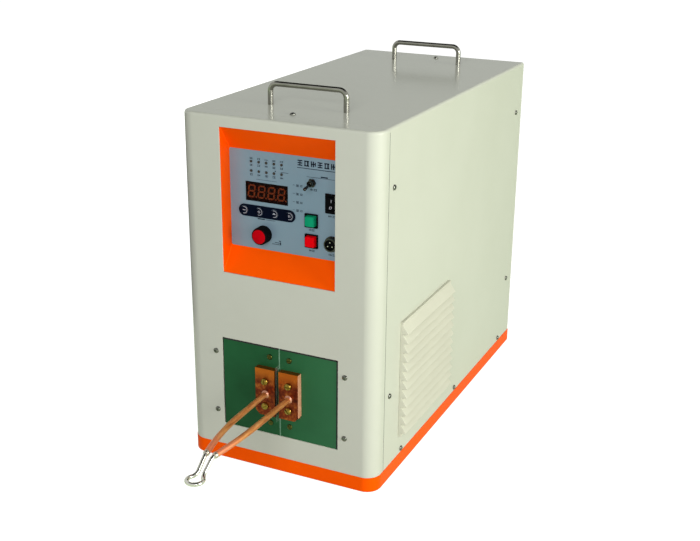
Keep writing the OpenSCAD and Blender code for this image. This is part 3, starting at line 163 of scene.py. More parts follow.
# Each finish is a real material and how its surface was made; some also paint shade or a highlight, as their comments
# say
FINISHES = {
    # Powder-coated steel sheet: semi-gloss with a soft orange peel
    "ivory_powder_coat": row("C4C7B8", "C0C3B3", 120, (0.16, 0.21), 2.2, 0.006, specular=0.3),
    # Powder-coated steel sheet in safety orange, a little glossier
    "orange_powder_coat": row("FF5A00", "F45300", 90, (0.3, 0.36), 2.0, 0.008, specular=0.04),
    # Moulded ABS with a fine spark-eroded texture, aged to a warm tone
    "moulded_abs_beige": row("C8C8B6", "C2C2B0", 60, (0.42, 0.52), 0.8, 0.02),
    # Polished stainless rod, a little cloudy
    "polished_stainless": row("A8A69F", "86847D", 14, (0.12, 0.2), 0.8, 0.0003, metallic=1),
    # Zinc-plated steel: bluish, slightly cloudy
    "zinc_plated_steel": row("84847F", "565652", 4, (0.09, 0.18), 0.4, 0.006, metallic=1),
    # Nickel-plated brass: warm and bright
    "nickel_plate": row("D9D5CC", "B7B2A8", 6, (0.08, 0.18), 0.5, 0.003, metallic=1),
    # Dark nickel on the turned rings of the switches
    "black_nickel": row("4A4A46", "2C2C28", 5, (0.1, 0.2), 0.5, 0.003, metallic=1),
    # Screen-printed polyester film on sheet: satin, faint metallic grey-blue
    "printed_film": row("8098A5", "7892A1", 70, (0.3, 0.38), 0.7, 0.006, metallic=0.15),
    # Screen ink on the film: flat and dense
    "screen_ink": row("141A26", "1C2433", 9, (0.5, 0.6), 0.5, 0.004, specular=0.1),
    "white_ink": row("B4B8BE", "9A9EA6", 6, (0.5, 0.6), 0.5, 0.004),
    # Navy film over the keys: smooth and dark
    "navy_film": row("060D20", "040A18", 20, (0.22, 0.3), 0.6, 0.004, specular=0.02),
    # Black moulded ABS with a fine eroded texture
    "black_abs": row("0C0D0F", "080909", 14, (0.38, 0.5), 0.5, 0.012, specular=0.02),
    # Glossy black acrylic round the display
    "black_acrylic": row("0A0606", "060404", 20, (0.12, 0.2), 0.8, 0.003, specular=0.05),
    # Translucent red-brown epoxy of unlit digits
    "unlit_digit_epoxy": row("B4572E", "8F3D1C", 3, (0.35, 0.45), 0.4, 0.004, specular=0.1),
    # Unlit lamp domes
    "unlit_lamp_epoxy": row("2A1A1C", "1A0F10", 2, (0.12, 0.2), 0.3, 0.002, coat=0.6),
    # Injection-moulded caps: smooth, the knob's a little duller
    "green_cap": row("10A070", "0C8C60", 6, (0.22, 0.32), 0.5, 0.005, specular=0.04),
    "red_cap": row("F00010", "D8000C", 6, (0.22, 0.32), 0.5, 0.005, specular=0.04),
    "knob_red": row("BE0210", "A8000C", 6, (0.32, 0.42), 0.4, 0.006, specular=0.04),
    # Moulded rubber: matt, with a dusty bloom. The same dark finish paints shade in the case seams and round the
    # terminal board
    "moulded_rubber": row("1B1B1C", "2A2A2A", 8, (0.7, 0.85), 0.4, 0.02, sheen=0.3),
    # Turned brass, and the same tarnished to olive
    "turned_brass": row("A88A3C", "584A20", 3, (0.18, 0.34), 0.35, 0.006, metallic=1),
    "tarnished_brass": row("5A5A2C", "3A3E1E", 3, (0.24, 0.4), 0.35, 0.006, metallic=1),
    # Clear insulating film between the plates, slightly milky
    "divider_film": row("C8D4C8", "B4C4B6", 12, (0.15, 0.25), 0.8, 0.004, alpha=0.05),
    # Bead of clear sealant along the film's root
    "clear_sealant": row("6A9478", "4C7A5C", 4, (0.3, 0.4), 1.2, 0.05),
    # Smoked red-brown acrylic over the digits
    "tinted_acrylic": row("2A0F0C", "200A08", 20, (0.05, 0.1), 2, 0.001, ior=1.49, alpha=0.25, specular=0.06),
    # Painted highlight: bright pink copper for the outer right side of the right plate, which faces the key lamp
    "cut_copper": row("F8B896", "E89A70", 9, (0.42, 0.55), 0.5, 0.01, metallic=0.45),
    # Copper-phosphorus braze run round the lead roots
    "copper_braze": row("E8A890", "B87860", 2, (0.3, 0.45), 0.6, 0.02, metallic=1),
    # Sintered ferrite: dark and chalky
    "ferrite": row("2A2A2D", "1F1F22", 10, (0.55, 0.7), 0.5, 0.03),
    # Machined aluminium: milling lines run one way
    "milled_aluminium": row("B9BBBD", "9FA1A4", 20, (0.28, 0.4), 0.6, 0.01, stretch=(0.15, 1, 1), metallic=1),
    # Solder mask over glass-epoxy, with the tracks faintly raised
    "solder_mask": row("0F4A2A", "1C6238", 5, (0.25, 0.4), 1.6, 0.03, coat=0.2),
    # Potted plastic boxes of the capacitors
    "cream_plastic": row("DCD6C4", "CFC8B4", 18, (0.4, 0.5), 0.7, 0.01),
    # Extruded blue hose
    "hose_rubber": row("2A4E80", "24446F", 12, (0.45, 0.6), 0.8, 0.01),
    # Bright tinned copper of the coil's end
    "bright_tin": row("EDEBE4", "CDCBC4", 5, (0.1, 0.18), 0.9, 0.004, metallic=1),
    # Silver solder that ran round the joints
    "silver_solder": row("E0D8CC", "B4A48C", 2, (0.25, 0.45), 0.5, 0.03, metallic=1),
}
MATERIALS = {}


def finish(name):
    """The material of that name, made once."""
    if name not in MATERIALS:
        if name in SPECIAL:
            MATERIALS[name] = SPECIAL[name](name)
        else:
            looks = dict(FINISHES[name])
            chosen = getattr(bpy.context.scene.heater_colours, name, None)
            looks["colour"] = list(chosen) if chosen else linear(looks["colour"])
            looks["worn"] = linear(looks["worn"])
            MATERIALS[name] = surface(name, **looks)
    return MATERIALS[name]


HEATED_FROM = FRONT - 128
HEATED_TO = FRONT - 100
RUBBED_FROM = PLATES[1].z - 17
RUBBED_TO = PLATES[1].z - 4


def worked_copper(name):
    """Copper tube, handled and heated: bright where rubbed, brown where oxidised, pinkish towards the brazed end."""
    material, tree = blank(name)
    place = add(tree, "TexCoord").outputs["Object"]
    along = add(tree, "Mapping", {"Scale": (1, 0.12, 1)}, {"Vector": place}).outputs["Vector"]
    streaks = add(tree, "TexNoise", {"Scale": 1 / (3 * MM), "Detail": 5, "Roughness": 0.6}, {"Vector": along})
    spots = add(tree, "TexNoise", {"Scale": 1 / (9 * MM), "Detail": 3, "Roughness": 0.6}, {"Vector": place})
    stops = [(0.30, linear("A86232")), (0.46, linear("CC8448")), (0.62, linear("DA9C5E")), (0.8, linear("EAB880"))]
    tone = add(tree, "ValToRGB", links={"Fac": streaks.outputs["Fac"]}, stops=stops)
    split = add(tree, "SeparateXYZ", links={"Vector": place})
    heated = add(
        tree, "MapRange", levels(HEATED_FROM * MM, HEATED_TO * MM, 0.85, 0.0), {"Value": split.outputs["Y"]}
    )
    links = {"Fac": heated.outputs["Result"], "Color1": tone.outputs["Color"]}
    colours = add(tree, "MixRGB", {"Color2": rgba(linear("F08C66"))}, links)
    gloss = add(tree, "MapRange", levels(0.3, 0.7, 0.34, 0.52), {"Value": spots.outputs["Fac"]})
    bump = add(tree, "Bump", {"Strength": 1, "Distance": 0.03 * MM}, {"Height": streaks.outputs["Fac"]})
    shader = add(tree, "BsdfPrincipled", {"Metallic": 0.6}, inputs(colours, gloss, bump))
    add(tree, "OutputMaterial", links={"Surface": shader.outputs["BSDF"]})
    return material


def oxidised_copper(name):
    """Face of a copper plate: dark red-brown oxide with lighter rubbed clouds, rubbed orange towards the top."""
    material, tree = blank(name)
    place = add(tree, "TexCoord").outputs["Object"]
    clouds = add(tree, "TexNoise", {"Scale": 1 / (7 * MM), "Detail": 5, "Roughness": 0.65}, {"Vector": place})
    stops = [(0.32, linear("46160C")), (0.48, linear("702A16")), (0.6, linear("96481F")), (0.78, linear("C47A3C"))]
    tone = add(tree, "ValToRGB", links={"Fac": clouds.outputs["Fac"]}, stops=stops)
    scratch = add(tree, "TexNoise", {"Scale": 1 / (0.5 * MM), "Detail": 2}, {"Vector": place})
    split = add(tree, "SeparateXYZ", links={"Vector": place})
    rubbed = add(
        tree, "MapRange", levels(RUBBED_FROM * MM, RUBBED_TO * MM, 0.0, 0.85), {"Value": split.outputs["Z"]}
    )
    links = {"Fac": rubbed.outputs["Result"], "Color1": tone.outputs["Color"]}
    colours = add(tree, "MixRGB", {"Color2": rgba(linear("C2661E"))}, links)
    gloss = add(tree, "MapRange", levels(0.3, 0.7, 0.5, 0.24), {"Value": clouds.outputs["Fac"]})
    bump = add(tree, "Bump", {"Strength": 1, "Distance": 0.02 * MM}, {"Height": scratch.outputs["Fac"]})
    shader = add(tree, "BsdfPrincipled", {"Metallic": 0.9}, inputs(colours, gloss, bump))
    add(tree, "OutputMaterial", links={"Surface": shader.outputs["BSDF"]})
    return material


def glass_epoxy(name):
    """Green glass-epoxy laminate, with painted light that makes it lighter to the right: the woven cloth shows faintly
    under a smooth resin face.
    """
    material, tree = blank(name)
    place = add(tree, "TexCoord").outputs["Object"]
    thread = 1.2 * MM  # real cloth is nearer 0.4 mm, drawn coarser so that it shows
    wave = {"Scale": 2 * math.pi / (20 * thread), "Distortion": 0.6, "Detail": 1}
    threads = [add(tree, "TexWave", wave, {"Vector": place}, bands_direction=way).outputs["Fac"] for way in "XZ"]
    weave = add(tree, "MixRGB", {"Fac": 0.5}, {"Color1": threads[0], "Color2": threads[1]}).outputs["Color"]
    clouds = add(tree, "TexNoise", {"Scale": 1 / (45 * MM), "Detail": 4}, {"Vector": place})
    stops = [(0.35, linear("124826")), (0.65, linear("1A5530"))]
    tone = add(tree, "ValToRGB", links={"Fac": clouds.outputs["Fac"]}, stops=stops)
    split = add(tree, "SeparateXYZ", links={"Vector": place})
    width = HALF * MM
    # Painted light: the laminate is mixed towards a lighter green to the right, as if lit there
    painted_light = add(tree, "MapRange", levels(-0.1 * width, 0.6 * width, 0.0, 0.5), {"Value": split.outputs["X"]})
    links = {"Fac": painted_light.outputs["Result"], "Color1": tone.outputs["Color"]}
    tone = add(tree, "MixRGB", {"Color2": rgba(linear("3E7A52"))}, links).outputs["Color"]
    colours = add(tree, "MixRGB", {"Fac": 0.08}, {"Color1": tone, "Color2": weave}, blend_type="SOFT_LIGHT")
    bump = add(tree, "Bump", {"Strength": 1, "Distance": 0.006 * MM}, {"Height": weave})
    resin = {"Roughness": 0.3, "Specular IOR Level": 0.12, "Coat Weight": 0.05, "Coat Roughness": 0.15}
    links = {"Base Color": colours.outputs["Color"], "Normal": bump.outputs["Normal"]}
    shader = add(tree, "BsdfPrincipled", resin, links)
    add(tree, "OutputMaterial", links={"Surface": shader.outputs["BSDF"]})
    return material


SPECIAL = {"worked_copper": worked_copper, "oxidised_copper": oxidised_copper, "glass_epoxy": glass_epoxy}


# Modelling


def rest():
    bpy.ops.object.select_all(action="DESELECT")


def take(piece):
    """Makes a piece the only selected and the active one."""
    rest()
    piece.select_set(True)
    bpy.context.view_layer.objects.active = piece
    return piece


def placed(name):
    """Names the piece just added and moves its place into its mesh."""
    piece = bpy.context.active_object
    piece.name = piece.data.name = name
    bpy.ops.object.transform_apply(location=True, rotation=True, scale=True)
    return piece


@contextmanager
def editing(piece, kind="FACE", wanted=lambda part: True):
    """Edit mode on a piece, with the corners, edges or faces selected that wanted accepts."""
    take(piece)
    bpy.ops.object.mode_set(mode="EDIT")
    bpy.ops.mesh.select_mode(type=kind)
    bpy.ops.mesh.select_all(action="DESELECT")
    mesh = bmesh.from_edit_mesh(piece.data)
    for part in {"VERT": mesh.verts, "EDGE": mesh.edges, "FACE": mesh.faces}[kind]:
        if wanted(part):
            part.select_set(True)
    bmesh.update_edit_mesh(piece.data)
    yield
    bpy.ops.object.mode_set(mode="OBJECT")


def ends(edge):
    return [corner.co / MM for corner in edge.verts]


def both_at(edge, axis, value):
    """Whether an edge lies at a value along an axis, in millimetres."""
    return all(abs(end[axis] - value) < 0.02 for end in ends(edge))


def runs_along(edge, axis):
    a, b = ends(edge)
    return abs((b - a).normalized()[axis]) > 0.999


def rolled(piece, radius, segments, wanted):
    """Rounds the edges that wanted accepts, by a radius in millimetres."""
    with editing(piece, "EDGE", wanted):
        bpy.ops.mesh.bevel(offset=radius * MM, segments=segments, affect="EDGES")


def modify(piece, kind, **settings):
    """Adds a modifier and applies it."""
    take(piece)
    modifier = piece.modifiers.new(kind, kind)
    for name, value in settings.items():
        setattr(modifier, name, value)
    bpy.ops.object.modifier_apply(modifier=modifier.name)


def soften(piece, width, segments=2, angle=35):
    """Rounds a piece's sharp edges by a width in millimetres."""
    limit = math.radians(angle)
    modify(piece, "BEVEL", width=width * MM, segments=segments, limit_method="ANGLE", angle_limit=limit)


def thickened(piece, thickness, offset=-1):
    """Gives an open shell a wall in millimetres, inwards with offset -1 and outwards with 1."""
    modify(piece, "SOLIDIFY", thickness=thickness * MM, offset=offset, use_even_offset=True)


def opened(piece, wanted):
    """Deletes the faces that wanted accepts."""
    with editing(piece, "FACE", wanted):
        bpy.ops.mesh.delete(type="FACE")


def remove(piece):
    bpy.data.meshes.remove(piece.data)


def cut(piece, *cutters):
    for cutter in cutters:
        modify(piece, "BOOLEAN", object=cutter, operation="DIFFERENCE", solver="EXACT")
        remove(cutter)


def joined(name, pieces):
    """Several pieces made one object."""
    take(pieces[0])
    for piece in pieces:
        piece.select_set(True)
    bpy.ops.object.join()
    pieces[0].name = pieces[0].data.name = name
    return pieces[0]


def copied(piece, matrix):
    """A copy with its own mesh, moved by a matrix in metres."""
    twin = bpy.data.objects.new(piece.name + "_copy", piece.data.copy())
    bpy.context.scene.collection.objects.link(twin)
    twin.data.transform(matrix)
    if matrix.determinant() < 0:
        with editing(twin):
            bpy.ops.mesh.flip_normals()
    return twin


def facing(place, direction):
    """Matrix that puts a part modelled at the origin, facing -Y, at a place in millimetres with another direction."""
    turn = FORWARD.rotation_difference(Vector(direction)).to_matrix().to_4x4()
    return Matrix.Translation(Vector(place) * MM) @ turn


def repeated(name, part, matrices):
    """One object made of copies of a part, which is then removed."""
    piece = joined(name, [copied(part, matrix) for matrix in matrices])
    remove(part)
    return piece


def moved(piece, matrix):
    """A piece modelled at the origin, put in its place."""
    return repeated(piece.name, piece, [matrix])


MIRROR = Matrix.Scale(-1, 4, ASIDE)


def box(name, low, high):
    """A block between two corners, in millimetres."""
    rest()
    low, high = Vector(low), Vector(high)
    bpy.ops.mesh.primitive_cube_add(size=1, location=(low + high) / 2 * MM)
    bpy.context.active_object.scale = (high - low) * MM
    return placed(name)


def line(name, points):
    """A line of edges through points in millimetres, left in edit mode."""
    rest()
    bpy.ops.mesh.primitive_plane_add(size=MM)
    piece = placed(name)
    points = [Vector(point) * MM for point in points]
    bpy.ops.object.mode_set(mode="EDIT")
    bpy.ops.mesh.select_mode(type="VERT")
    bpy.ops.mesh.select_all(action="SELECT")
    bpy.ops.mesh.merge(type="CENTER")
    bpy.ops.transform.translate(value=points[0])
    for start, end in zip(points, points[1:]):
        bpy.ops.mesh.extrude_region_move(TRANSFORM_OT_translate={"value": end - start})
    bpy.ops.mesh.select_all(action="SELECT")
    return piece


def prism(name, outline, push):
    """A closed outline pushed along a vector, all in millimetres."""
    piece = line(name, outline)
    bpy.ops.mesh.edge_face_add()
    bpy.ops.mesh.extrude_region_move(TRANSFORM_OT_translate={"value": Vector(push) * MM})
    bpy.ops.mesh.select_all(action="SELECT")
    bpy.ops.mesh.normals_make_consistent(inside=False)
    bpy.ops.object.mode_set(mode="OBJECT")
    return piece


def turned(name, outline, centre=(0, 0, 0), axis=FORWARD, steps=40):
    """A shape turned about an axis. The outline gives radius and distance along the axis, in millimetres."""
    axis = Vector(axis)
    side = (UP if abs(axis.z) < 0.9 else ASIDE).cross(axis).normalized()
    piece = line(name, [Vector(centre) + axis * along + side * radius for radius, along in outline])
    bpy.ops.mesh.spin(steps=steps, angle=2 * math.pi, center=Vector(centre) * MM, axis=axis)
    bpy.ops.mesh.select_all(action="SELECT")
    bpy.ops.mesh.remove_doubles(threshold=0.005 * MM)
    bpy.ops.mesh.normals_make_consistent(inside=False)
    bpy.ops.object.mode_set(mode="OBJECT")
    return piece


def tube(name, points, radius, sides=24):
    """A round bar along points in millimetres."""
    rest()
    bpy.ops.curve.primitive_nurbs_path_add()
    piece = bpy.context.active_object
    curve = piece.data
    curve.splines.clear()
    spline = curve.splines.new("POLY")
    spline.points.add(len(points) - 1)
    for knot, point in zip(spline.points, points):
        knot.co = (*(Vector(point) * MM), 1)
    curve.bevel_depth = radius * MM
    curve.bevel_resolution = sides // 4 - 1
    curve.use_fill_caps = True
    take(piece)
    bpy.ops.object.convert(target="MESH")
    return placed(name)


def rounded_corner(before, at, after, reach, steps=8):
    """Points that round a corner over a reach on either side."""
    a = at + reach * (before - at).normalized()
    b = at + reach * (after - at).normalized()
    centre = a + b - at
    turns = [math.pi / 2 * i / steps for i in range(steps + 1)]
    return [centre + (a - centre) * math.cos(turn) + (b - centre) * math.sin(turn) for turn in turns]


def smooth(piece, angle=40):
    take(piece)
    bpy.ops.object.shade_smooth_by_angle(angle=math.radians(angle))
    modify(piece, "WEIGHTED_NORMAL", keep_sharp=True)


def fitted(piece, looks, body="case", stands_for=(), angle=40):
    """Gives a finished piece its material, its body and the CAD nodes that it stands for."""
    smooth(piece, angle)
    if looks:
        piece.data.materials.clear()
        piece.data.materials.append(finish(looks))
    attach(piece, body)
    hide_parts(*stands_for)
    return piece


def dressed(node, width, looks, body="case", segments=2):
    """A merged copy of a CAD solid with its edges rounded, which stands for it."""
    piece = bpy.data.objects.new(node + "_finished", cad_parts[node].data.copy())
    bpy.context.scene.collection.objects.link(piece)
    with editing(piece):
        bpy.ops.mesh.remove_doubles(threshold=0.002 * MM)
        bpy.ops.mesh.dissolve_limited(angle_limit=math.radians(1))
    if width:
        soften(piece, width, segments)
    return fitted(piece, looks, body, (node,))


# Case

SEAM = 0.4
WING_END = COVER[0].y - SEAM
LAP_END = FASCIA[1].y
WINDOW_LOW = (-71.2, FRONT - 9, 52.4)
WINDOW_HIGH = (71.2, FRONT + 9, 158.8)
VENTS = (span("left_grille"), span("right_grille"))
VENT_RIM = 4
BAND_PROUD = TRAY[1].x - HALF
LIP_FROM, LIP_TO = -109.3, 275.5
SLOPE = 26.0
HANDLE_BEND = 8.0
SCREW_HEAD = 3.1
SCREW_HEIGHT = 1.9
SIDE_SCREWS = [(-123.4, 111.6), (-123.4, 345.3), (285.4, 111.6), (285.4, 345.3)]
ROW_SCREWS = [(-87.2, 30.3), (86.2, 30.3), (261.5, 30.3)]
TOP_SCREWS = [-122.0, 286.9]
WINDOW_SCREWS = [(-79.3, 68.5), (79.3, 68.5), (-79.3, 140.9), (79.3, 140.9)]


def upright(edge):
    return runs_along(edge, 2)


class HEATER_OT_fascia(bpy.types.Operator):
    """Front sheet with its rolled corners, recess opening and lower window"""

    bl_idname = "heater.fascia"
    bl_label = "Front fascia"

    def execute(self, context):
        sizes = context.scene.heater_sizes
        shell = box("fascia", (-HALF, FRONT, BAND), (HALF, WING_END, TOP))
        rolled(shell, sizes.corner_radius / MM, 16, lambda edge: upright(edge) and both_at(edge, 1, FRONT))
        rolled(shell, sizes.edge_radius / MM, 5, lambda edge: both_at(edge, 2, TOP) and not both_at(edge, 1, WING_END))
        opened(shell, lambda face: face.normal.y > 0.9 or face.normal.z < -0.9)
        thickened(shell, SHEET)
        low, high = RECESS
        inset, deep = RECESS_WALL, 9
        opening = box(
            "opening", (low.x + inset, FRONT - deep, low.z + inset), (high.x - inset, FRONT + deep, high.z - inset)
        )
        window = box("window", WINDOW_LOW, WINDOW_HIGH)
        rolled(window, 1.0, 4, lambda edge: runs_along(edge, 1))
        cut(shell, opening, window)
        soften(shell, 0.3, 2, 50)
        inner = HALF - SHEET
        lap = box("lap", (-inner, WING_END - 6, BAND), (inner, LAP_END, TOP - SHEET))
        opened(lap, lambda face: abs(face.normal.y) > 0.9 or face.normal.z < -0.9)
        thickened(lap, SHEET)
        fascia = joined("fascia_sheet", [shell, lap])
        fitted(fascia, "ivory_powder_coat", stands_for=("front_fascia",))
        return {"FINISHED"}


class HEATER_OT_cover(bpy.types.Operator):
    """Sheet folded over the top and down both sides"""

    bl_idname = "heater.cover"
    bl_label = "Wrap cover"

    def execute(self, context):
        sizes = context.scene.heater_sizes
        cover = box("cover_sheet", (-HALF, COVER[0].y, BAND), (HALF, REAR, TOP))
        rolled(cover, sizes.edge_radius / MM, 5, lambda edge: runs_along(edge, 1) and both_at(edge, 2, TOP))
        opened(cover, lambda face: abs(face.normal.y) > 0.9 or face.normal.z < -0.9)
        thickened(cover, SHEET)
        for low, high in VENTS:
            inset = Vector((-9, VENT_RIM, VENT_RIM))
            cut(cover, box("vent_hole", low + inset, high - inset))
        soften(cover, 0.3, 2, 50)
        fitted(cover, "ivory_powder_coat", stands_for=("wrap_cover",))
        # Painted shade: dark strips fill the gap between the fascia and the cover down both sides
        y, wide = (WING_END + COVER[0].y) / 2, 0.3
        seams = [
            box("seam", (side * (HALF - wide), y - wide, BAND + wide), (side * (HALF + 0.01), y + wide, TOP - 4))
            for side in (-1, 1)
        ]
        fitted(joined("cover_seams", seams), "moulded_rubber")
        return {"FINISHED"}


class HEATER_OT_tray(bpy.types.Operator):
    """Base tray with rounded corners, a rolled bottom edge and the lips behind the cover"""

    bl_idname = "heater.tray"
    bl_label = "Base tray"

    def execute(self, context):
        sizes = context.scene.heater_sizes
        low, high = TRAY
        tray = box("tray", low, (high.x, high.y, BAND))
        rolled(tray, sizes.corner_radius / MM + BAND_PROUD, 16, lambda edge: upright(edge) and both_at(edge, 1, low.y))
        rolled(tray, 2.0, 5, lambda edge: both_at(edge, 2, low.z))
        opened(tray, lambda face: face.normal.z > 0.9)
        thickened(tray, SHEET + BAND_PROUD)
        soften(tray, 0.3, 2, 50)
        lip = box("lip", (HALF - 2 * SHEET, LIP_FROM, low.z + 1), (HALF - SHEET, LIP_TO, high.z))
        soften(lip, 0.3)
        lips = [copied(lip, MIRROR), lip]
        fitted(joined("base_pan", [tray, *lips]), "orange_powder_coat", stands_for=("base_tray",))
        return {"FINISHED"}


class HEATER_OT_recess(bpy.types.Operator):
    """Orange funnel round the control panel"""

    bl_idname = "heater.recess"
    bl_label = "Panel recess"

    def execute(self, context):
        low, high = RECESS
        wall = Vector((RECESS_WALL, 0, RECESS_WALL))
        funnel = box("recess_funnel", low + wall + Vector((0, SHEET + 0.05, 0)), high - wall)
        narrowed = 1 - 2 * SLOPE / (high.z - low.z - 2 * RECESS_WALL)
        with editing(funnel, "FACE", lambda face: face.normal.y > 0.9):
            bpy.ops.transform.resize(value=(1, 1, narrowed), center_override=(low + high) / 2 * MM)
        opened(funnel, lambda face: abs(face.normal.y) > 0.9)
        rolled(funnel, 1.4, 4, lambda edge: len(edge.link_faces) == 2)
        thickened(funnel, RECESS_WALL, 1)
        soften(funnel, 0.35, 3, 60)
        fitted(funnel, "orange_powder_coat", stands_for=("panel_recess",), angle=30)
        return {"FINISHED"}


PAN = [(0, 1), (0.45, 0.97), (0.74, 0.84), (0.93, 0.62), (1, 0.36), (1, 0)]


def pan_head(name, radius, height, slots=2):
    """A pan head at the origin, facing -Y, with its driving cross or slot."""
    head = turned(name, [(reach * radius, rise * height) for reach, rise in PAN], steps=28)
    arm, half = (1.2 if slots == 1 else 0.52) * radius, 0.11 * radius
    for x, z in [(arm, half), (half, arm)][:slots]:
        cut(head, box("driver", (-x, -height - 1, -z), (x, -0.55 * height, z)))
    return head


class HEATER_OT_case_screws(bpy.types.Operator):
    """Pan-head cross-recess screws on the sides, top and lower window"""

    bl_idname = "heater.case_screws"
    bl_label = "Case screws"

    def execute(self, context):
        head = pan_head("case_screw", SCREW_HEAD, SCREW_HEIGHT)
        places = [facing((x, FRONT, z), FORWARD) for x, z in WINDOW_SCREWS]
        places += [facing((0, y, TOP), UP) for y in TOP_SCREWS]
        for side in (-1, 1):
            places += [facing((side * HALF, y, z), side * ASIDE) for y, z in SIDE_SCREWS]
            places += [facing((side * (HALF + BAND_PROUD - 0.5), y, z), side * ASIDE) for y, z in ROW_SCREWS]
        turns = [Matrix.Rotation(0.7 * i, 4, FORWARD) for i in range(len(places))]
        heads = repeated("case_screw_heads", head, [place @ turn for place, turn in zip(places, turns)])
        fitted(heads, "zinc_plated_steel", stands_for=("case_screws",), angle=50)
        return {"FINISHED"}


class HEATER_OT_handles(bpy.types.Operator):
    """Polished bar handles"""

    bl_idname = "heater.handles"
    bl_label = "Handles"

    def execute(self, context):
        for node in ("front_handle", "rear_handle"):
            low, high = span(node)
            radius = (high.y - low.y) / 2
            y = (low.y + high.y) / 2
            side, rise = high.x - radius, high.z - radius
            path = [Vector((x, y, z)) for x, z in ((-side, low.z), (-side, rise), (side, rise), (side, low.z))]
            turns = [rounded_corner(*path[i : i + 3], HANDLE_BEND, 14) for i in (0, 1)]
            rod = tube(node + "_bar", [path[0], *turns[0], *turns[1], path[3]], radius, 32)
            fitted(rod, "polished_stainless", stands_for=(node,), angle=60)
        return {"FINISHED"}


class HEATER_OT_grilles(bpy.types.Operator):
    """Moulded louvre grilles on both sides"""

    bl_idname = "heater.grilles"
    bl_label = "Side grilles"

    def execute(self, context):
        for node in ("left_grille", "right_grille"):
            dressed(node, 0.6, "moulded_abs_beige", segments=3)
        return {"FINISHED"}


def coated(looks, *nodes):
    """Gives CAD nodes that keep their shape a finish."""
    for node in nodes:
        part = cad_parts[node]
        if not part.material_slots:
            part.data.materials.append(None)
        for slot in part.material_slots:
            slot.material = finish(looks)


# Control panel


def middle(node):
    """Middle of a CAD node seen from the front, as X and Z in millimetres."""
    low, high = span(node)
    return (low.x + high.x) / 2, (low.z + high.z) / 2


DISPLAY_X, STRIP_Z = middle("key_strip")
KEYS = 4
KEY_PITCH = 18.2
KEY_RING = 3.9
RING_WIDTH = 0.55
LED_PITCH = 9.05
LED_ROWS = (357.5, 347.3)
KNOB = middle("power_knob")
ROCKER = middle("rocker_frame")
SOCKET = middle("foot_switch_socket")
SOCKET_FLOOR = -141.7
SIGN_RISE = 3.2
GROOVE = 0.45
CROWN = 1.2
CAP_TAPER = 0.87
CAP_RIM = 0.9
CAP_DISH = 0.35
INK = 0.04
TITLE_MARKS, TITLE_PITCH, TITLE_X, TITLE_Z = 6, 7.7, 17, 362.6
LEGEND_ROWS = (337.8, 328.7, 319.8, 310.9)

# Printed bars as X and Z of their middle, width and height, in millimetres
PANEL_BARS = [
    # Under the title, and beside the lamps and the display
    (35.7, 357.4, 44, 0.7),
    (DISPLAY_X - 0.1, 338.7, 25, 0.35),
    (40.7, 348.9, 32, 0.4),
    (45, 350.2, 8, 1.3),
    (-1.1, 349.6, 9.0, 0.5),
    (-12.1, 349.9, 1.2, 1.2),
    # Round the power knob
    (-29.9, 295.4, 9, 1.1),
    (-18.9, 295.4, 12, 0.4),
    (-11.6, 269.8, 11, 0.6),
    (-10.4, 271.7, 6.5, 0.7),
    (-7.6, 273.9, 2.4, 1.0),
    (-6.8, 271.4, 1.2, 2.6),
]
# Marks below or above the switches and buttons: X and Z of their middle and their width
CONTROL_NAMES = ((32.5, 335.6, 9), (30.4, 291.9, 7), (30.4, 269.3, 7), (54, 309.8, 10), (54.3, 267.9, 9))


def bar(x, z, width, height):
    """A printed bar by its middle and size."""
    return (x - width / 2, x + width / 2, z - height / 2, z + height / 2)


def block_mark(x, z, width, height, kind):
    """A generic bold block made of a few strokes."""
    stroke = height / 5
    lower, centre, upper = [bar(x, z + i * 2 * stroke, width, stroke) for i in (-1, 0, 1)]

    def post(aside, thick=1.0, tall=1.0):
        return bar(x + aside * width, z, thick * stroke, tall * height)

    if kind % 3 == 0:
        return [lower, centre, upper, post(0)]
    if kind % 3 == 1:
        return [lower, upper, post(-1 / 3), post(1 / 4, 1.4)]
    return [centre, post(0, 1.2), post(-0.4), post(0.4, 1, 0.7)]


def printed(name, bars, face, ink, body="case"):
    """Thin bars on a face towards the front at a depth in millimetres: ink marks, and the painted shadow round the
    terminal board.
    """
    boxes = [box("bar", (x0, face - INK, z0), (x1, face + INK, z1)) for x0, x1, z0, z1 in bars]
    return fitted(joined(name, boxes), ink, body)


class HEATER_OT_panel_print(bpy.types.Operator):
    """Ink marks round the controls, generic in shape"""

    bl_idname = "heater.panel_print"
    bl_label = "Panel print"

    def execute(self, context):
        marks = [bar(*mark) for mark in PANEL_BARS]
        for i in range(TITLE_MARKS):
            marks += block_mark(TITLE_X + i * TITLE_PITCH, TITLE_Z, 5.6, 6.0, i)
        for z in LEGEND_ROWS:
            marks += block_mark(13.9, z, 3.6, 2.4, 0) + block_mark(18.4, z, 2.8, 2.0, 1)
            marks.append(bar(9.5, z + 0.3, 2.2, 0.4))
        for i in range(5):
            x = DISPLAY_X + (i - 2) * LED_PITCH
            for row, z in enumerate(LED_ROWS):
                marks += block_mark(x, z - 4.0, 3.4, 2.2, i + row)
            marks += block_mark(x, LED_ROWS[0] + 3.2, 3.8, 1.7, i)
        for x, z, width in CONTROL_NAMES:
            for side, kind in ((-1, 2), (1, 1)):
                marks += block_mark(x + side * width / 4, z, width * 0.42, 2.2, kind)
        printed("panel_marks", marks, PANEL_FACE, "screen_ink")
        coated("printed_film", "control_panel")
        return {"FINISHED"}


class HEATER_OT_display(bpy.types.Operator):
    """Four-digit display with its bezel and smoked window"""

    bl_idname = "heater.display"
    bl_label = "Display"

    def execute(self, context):
        dressed("display_housing", 0.25, "black_acrylic")
        dressed("display_window", 0.15, "tinted_acrylic")
        coated("unlit_digit_epoxy", "display_digits")
        return {"FINISHED"}


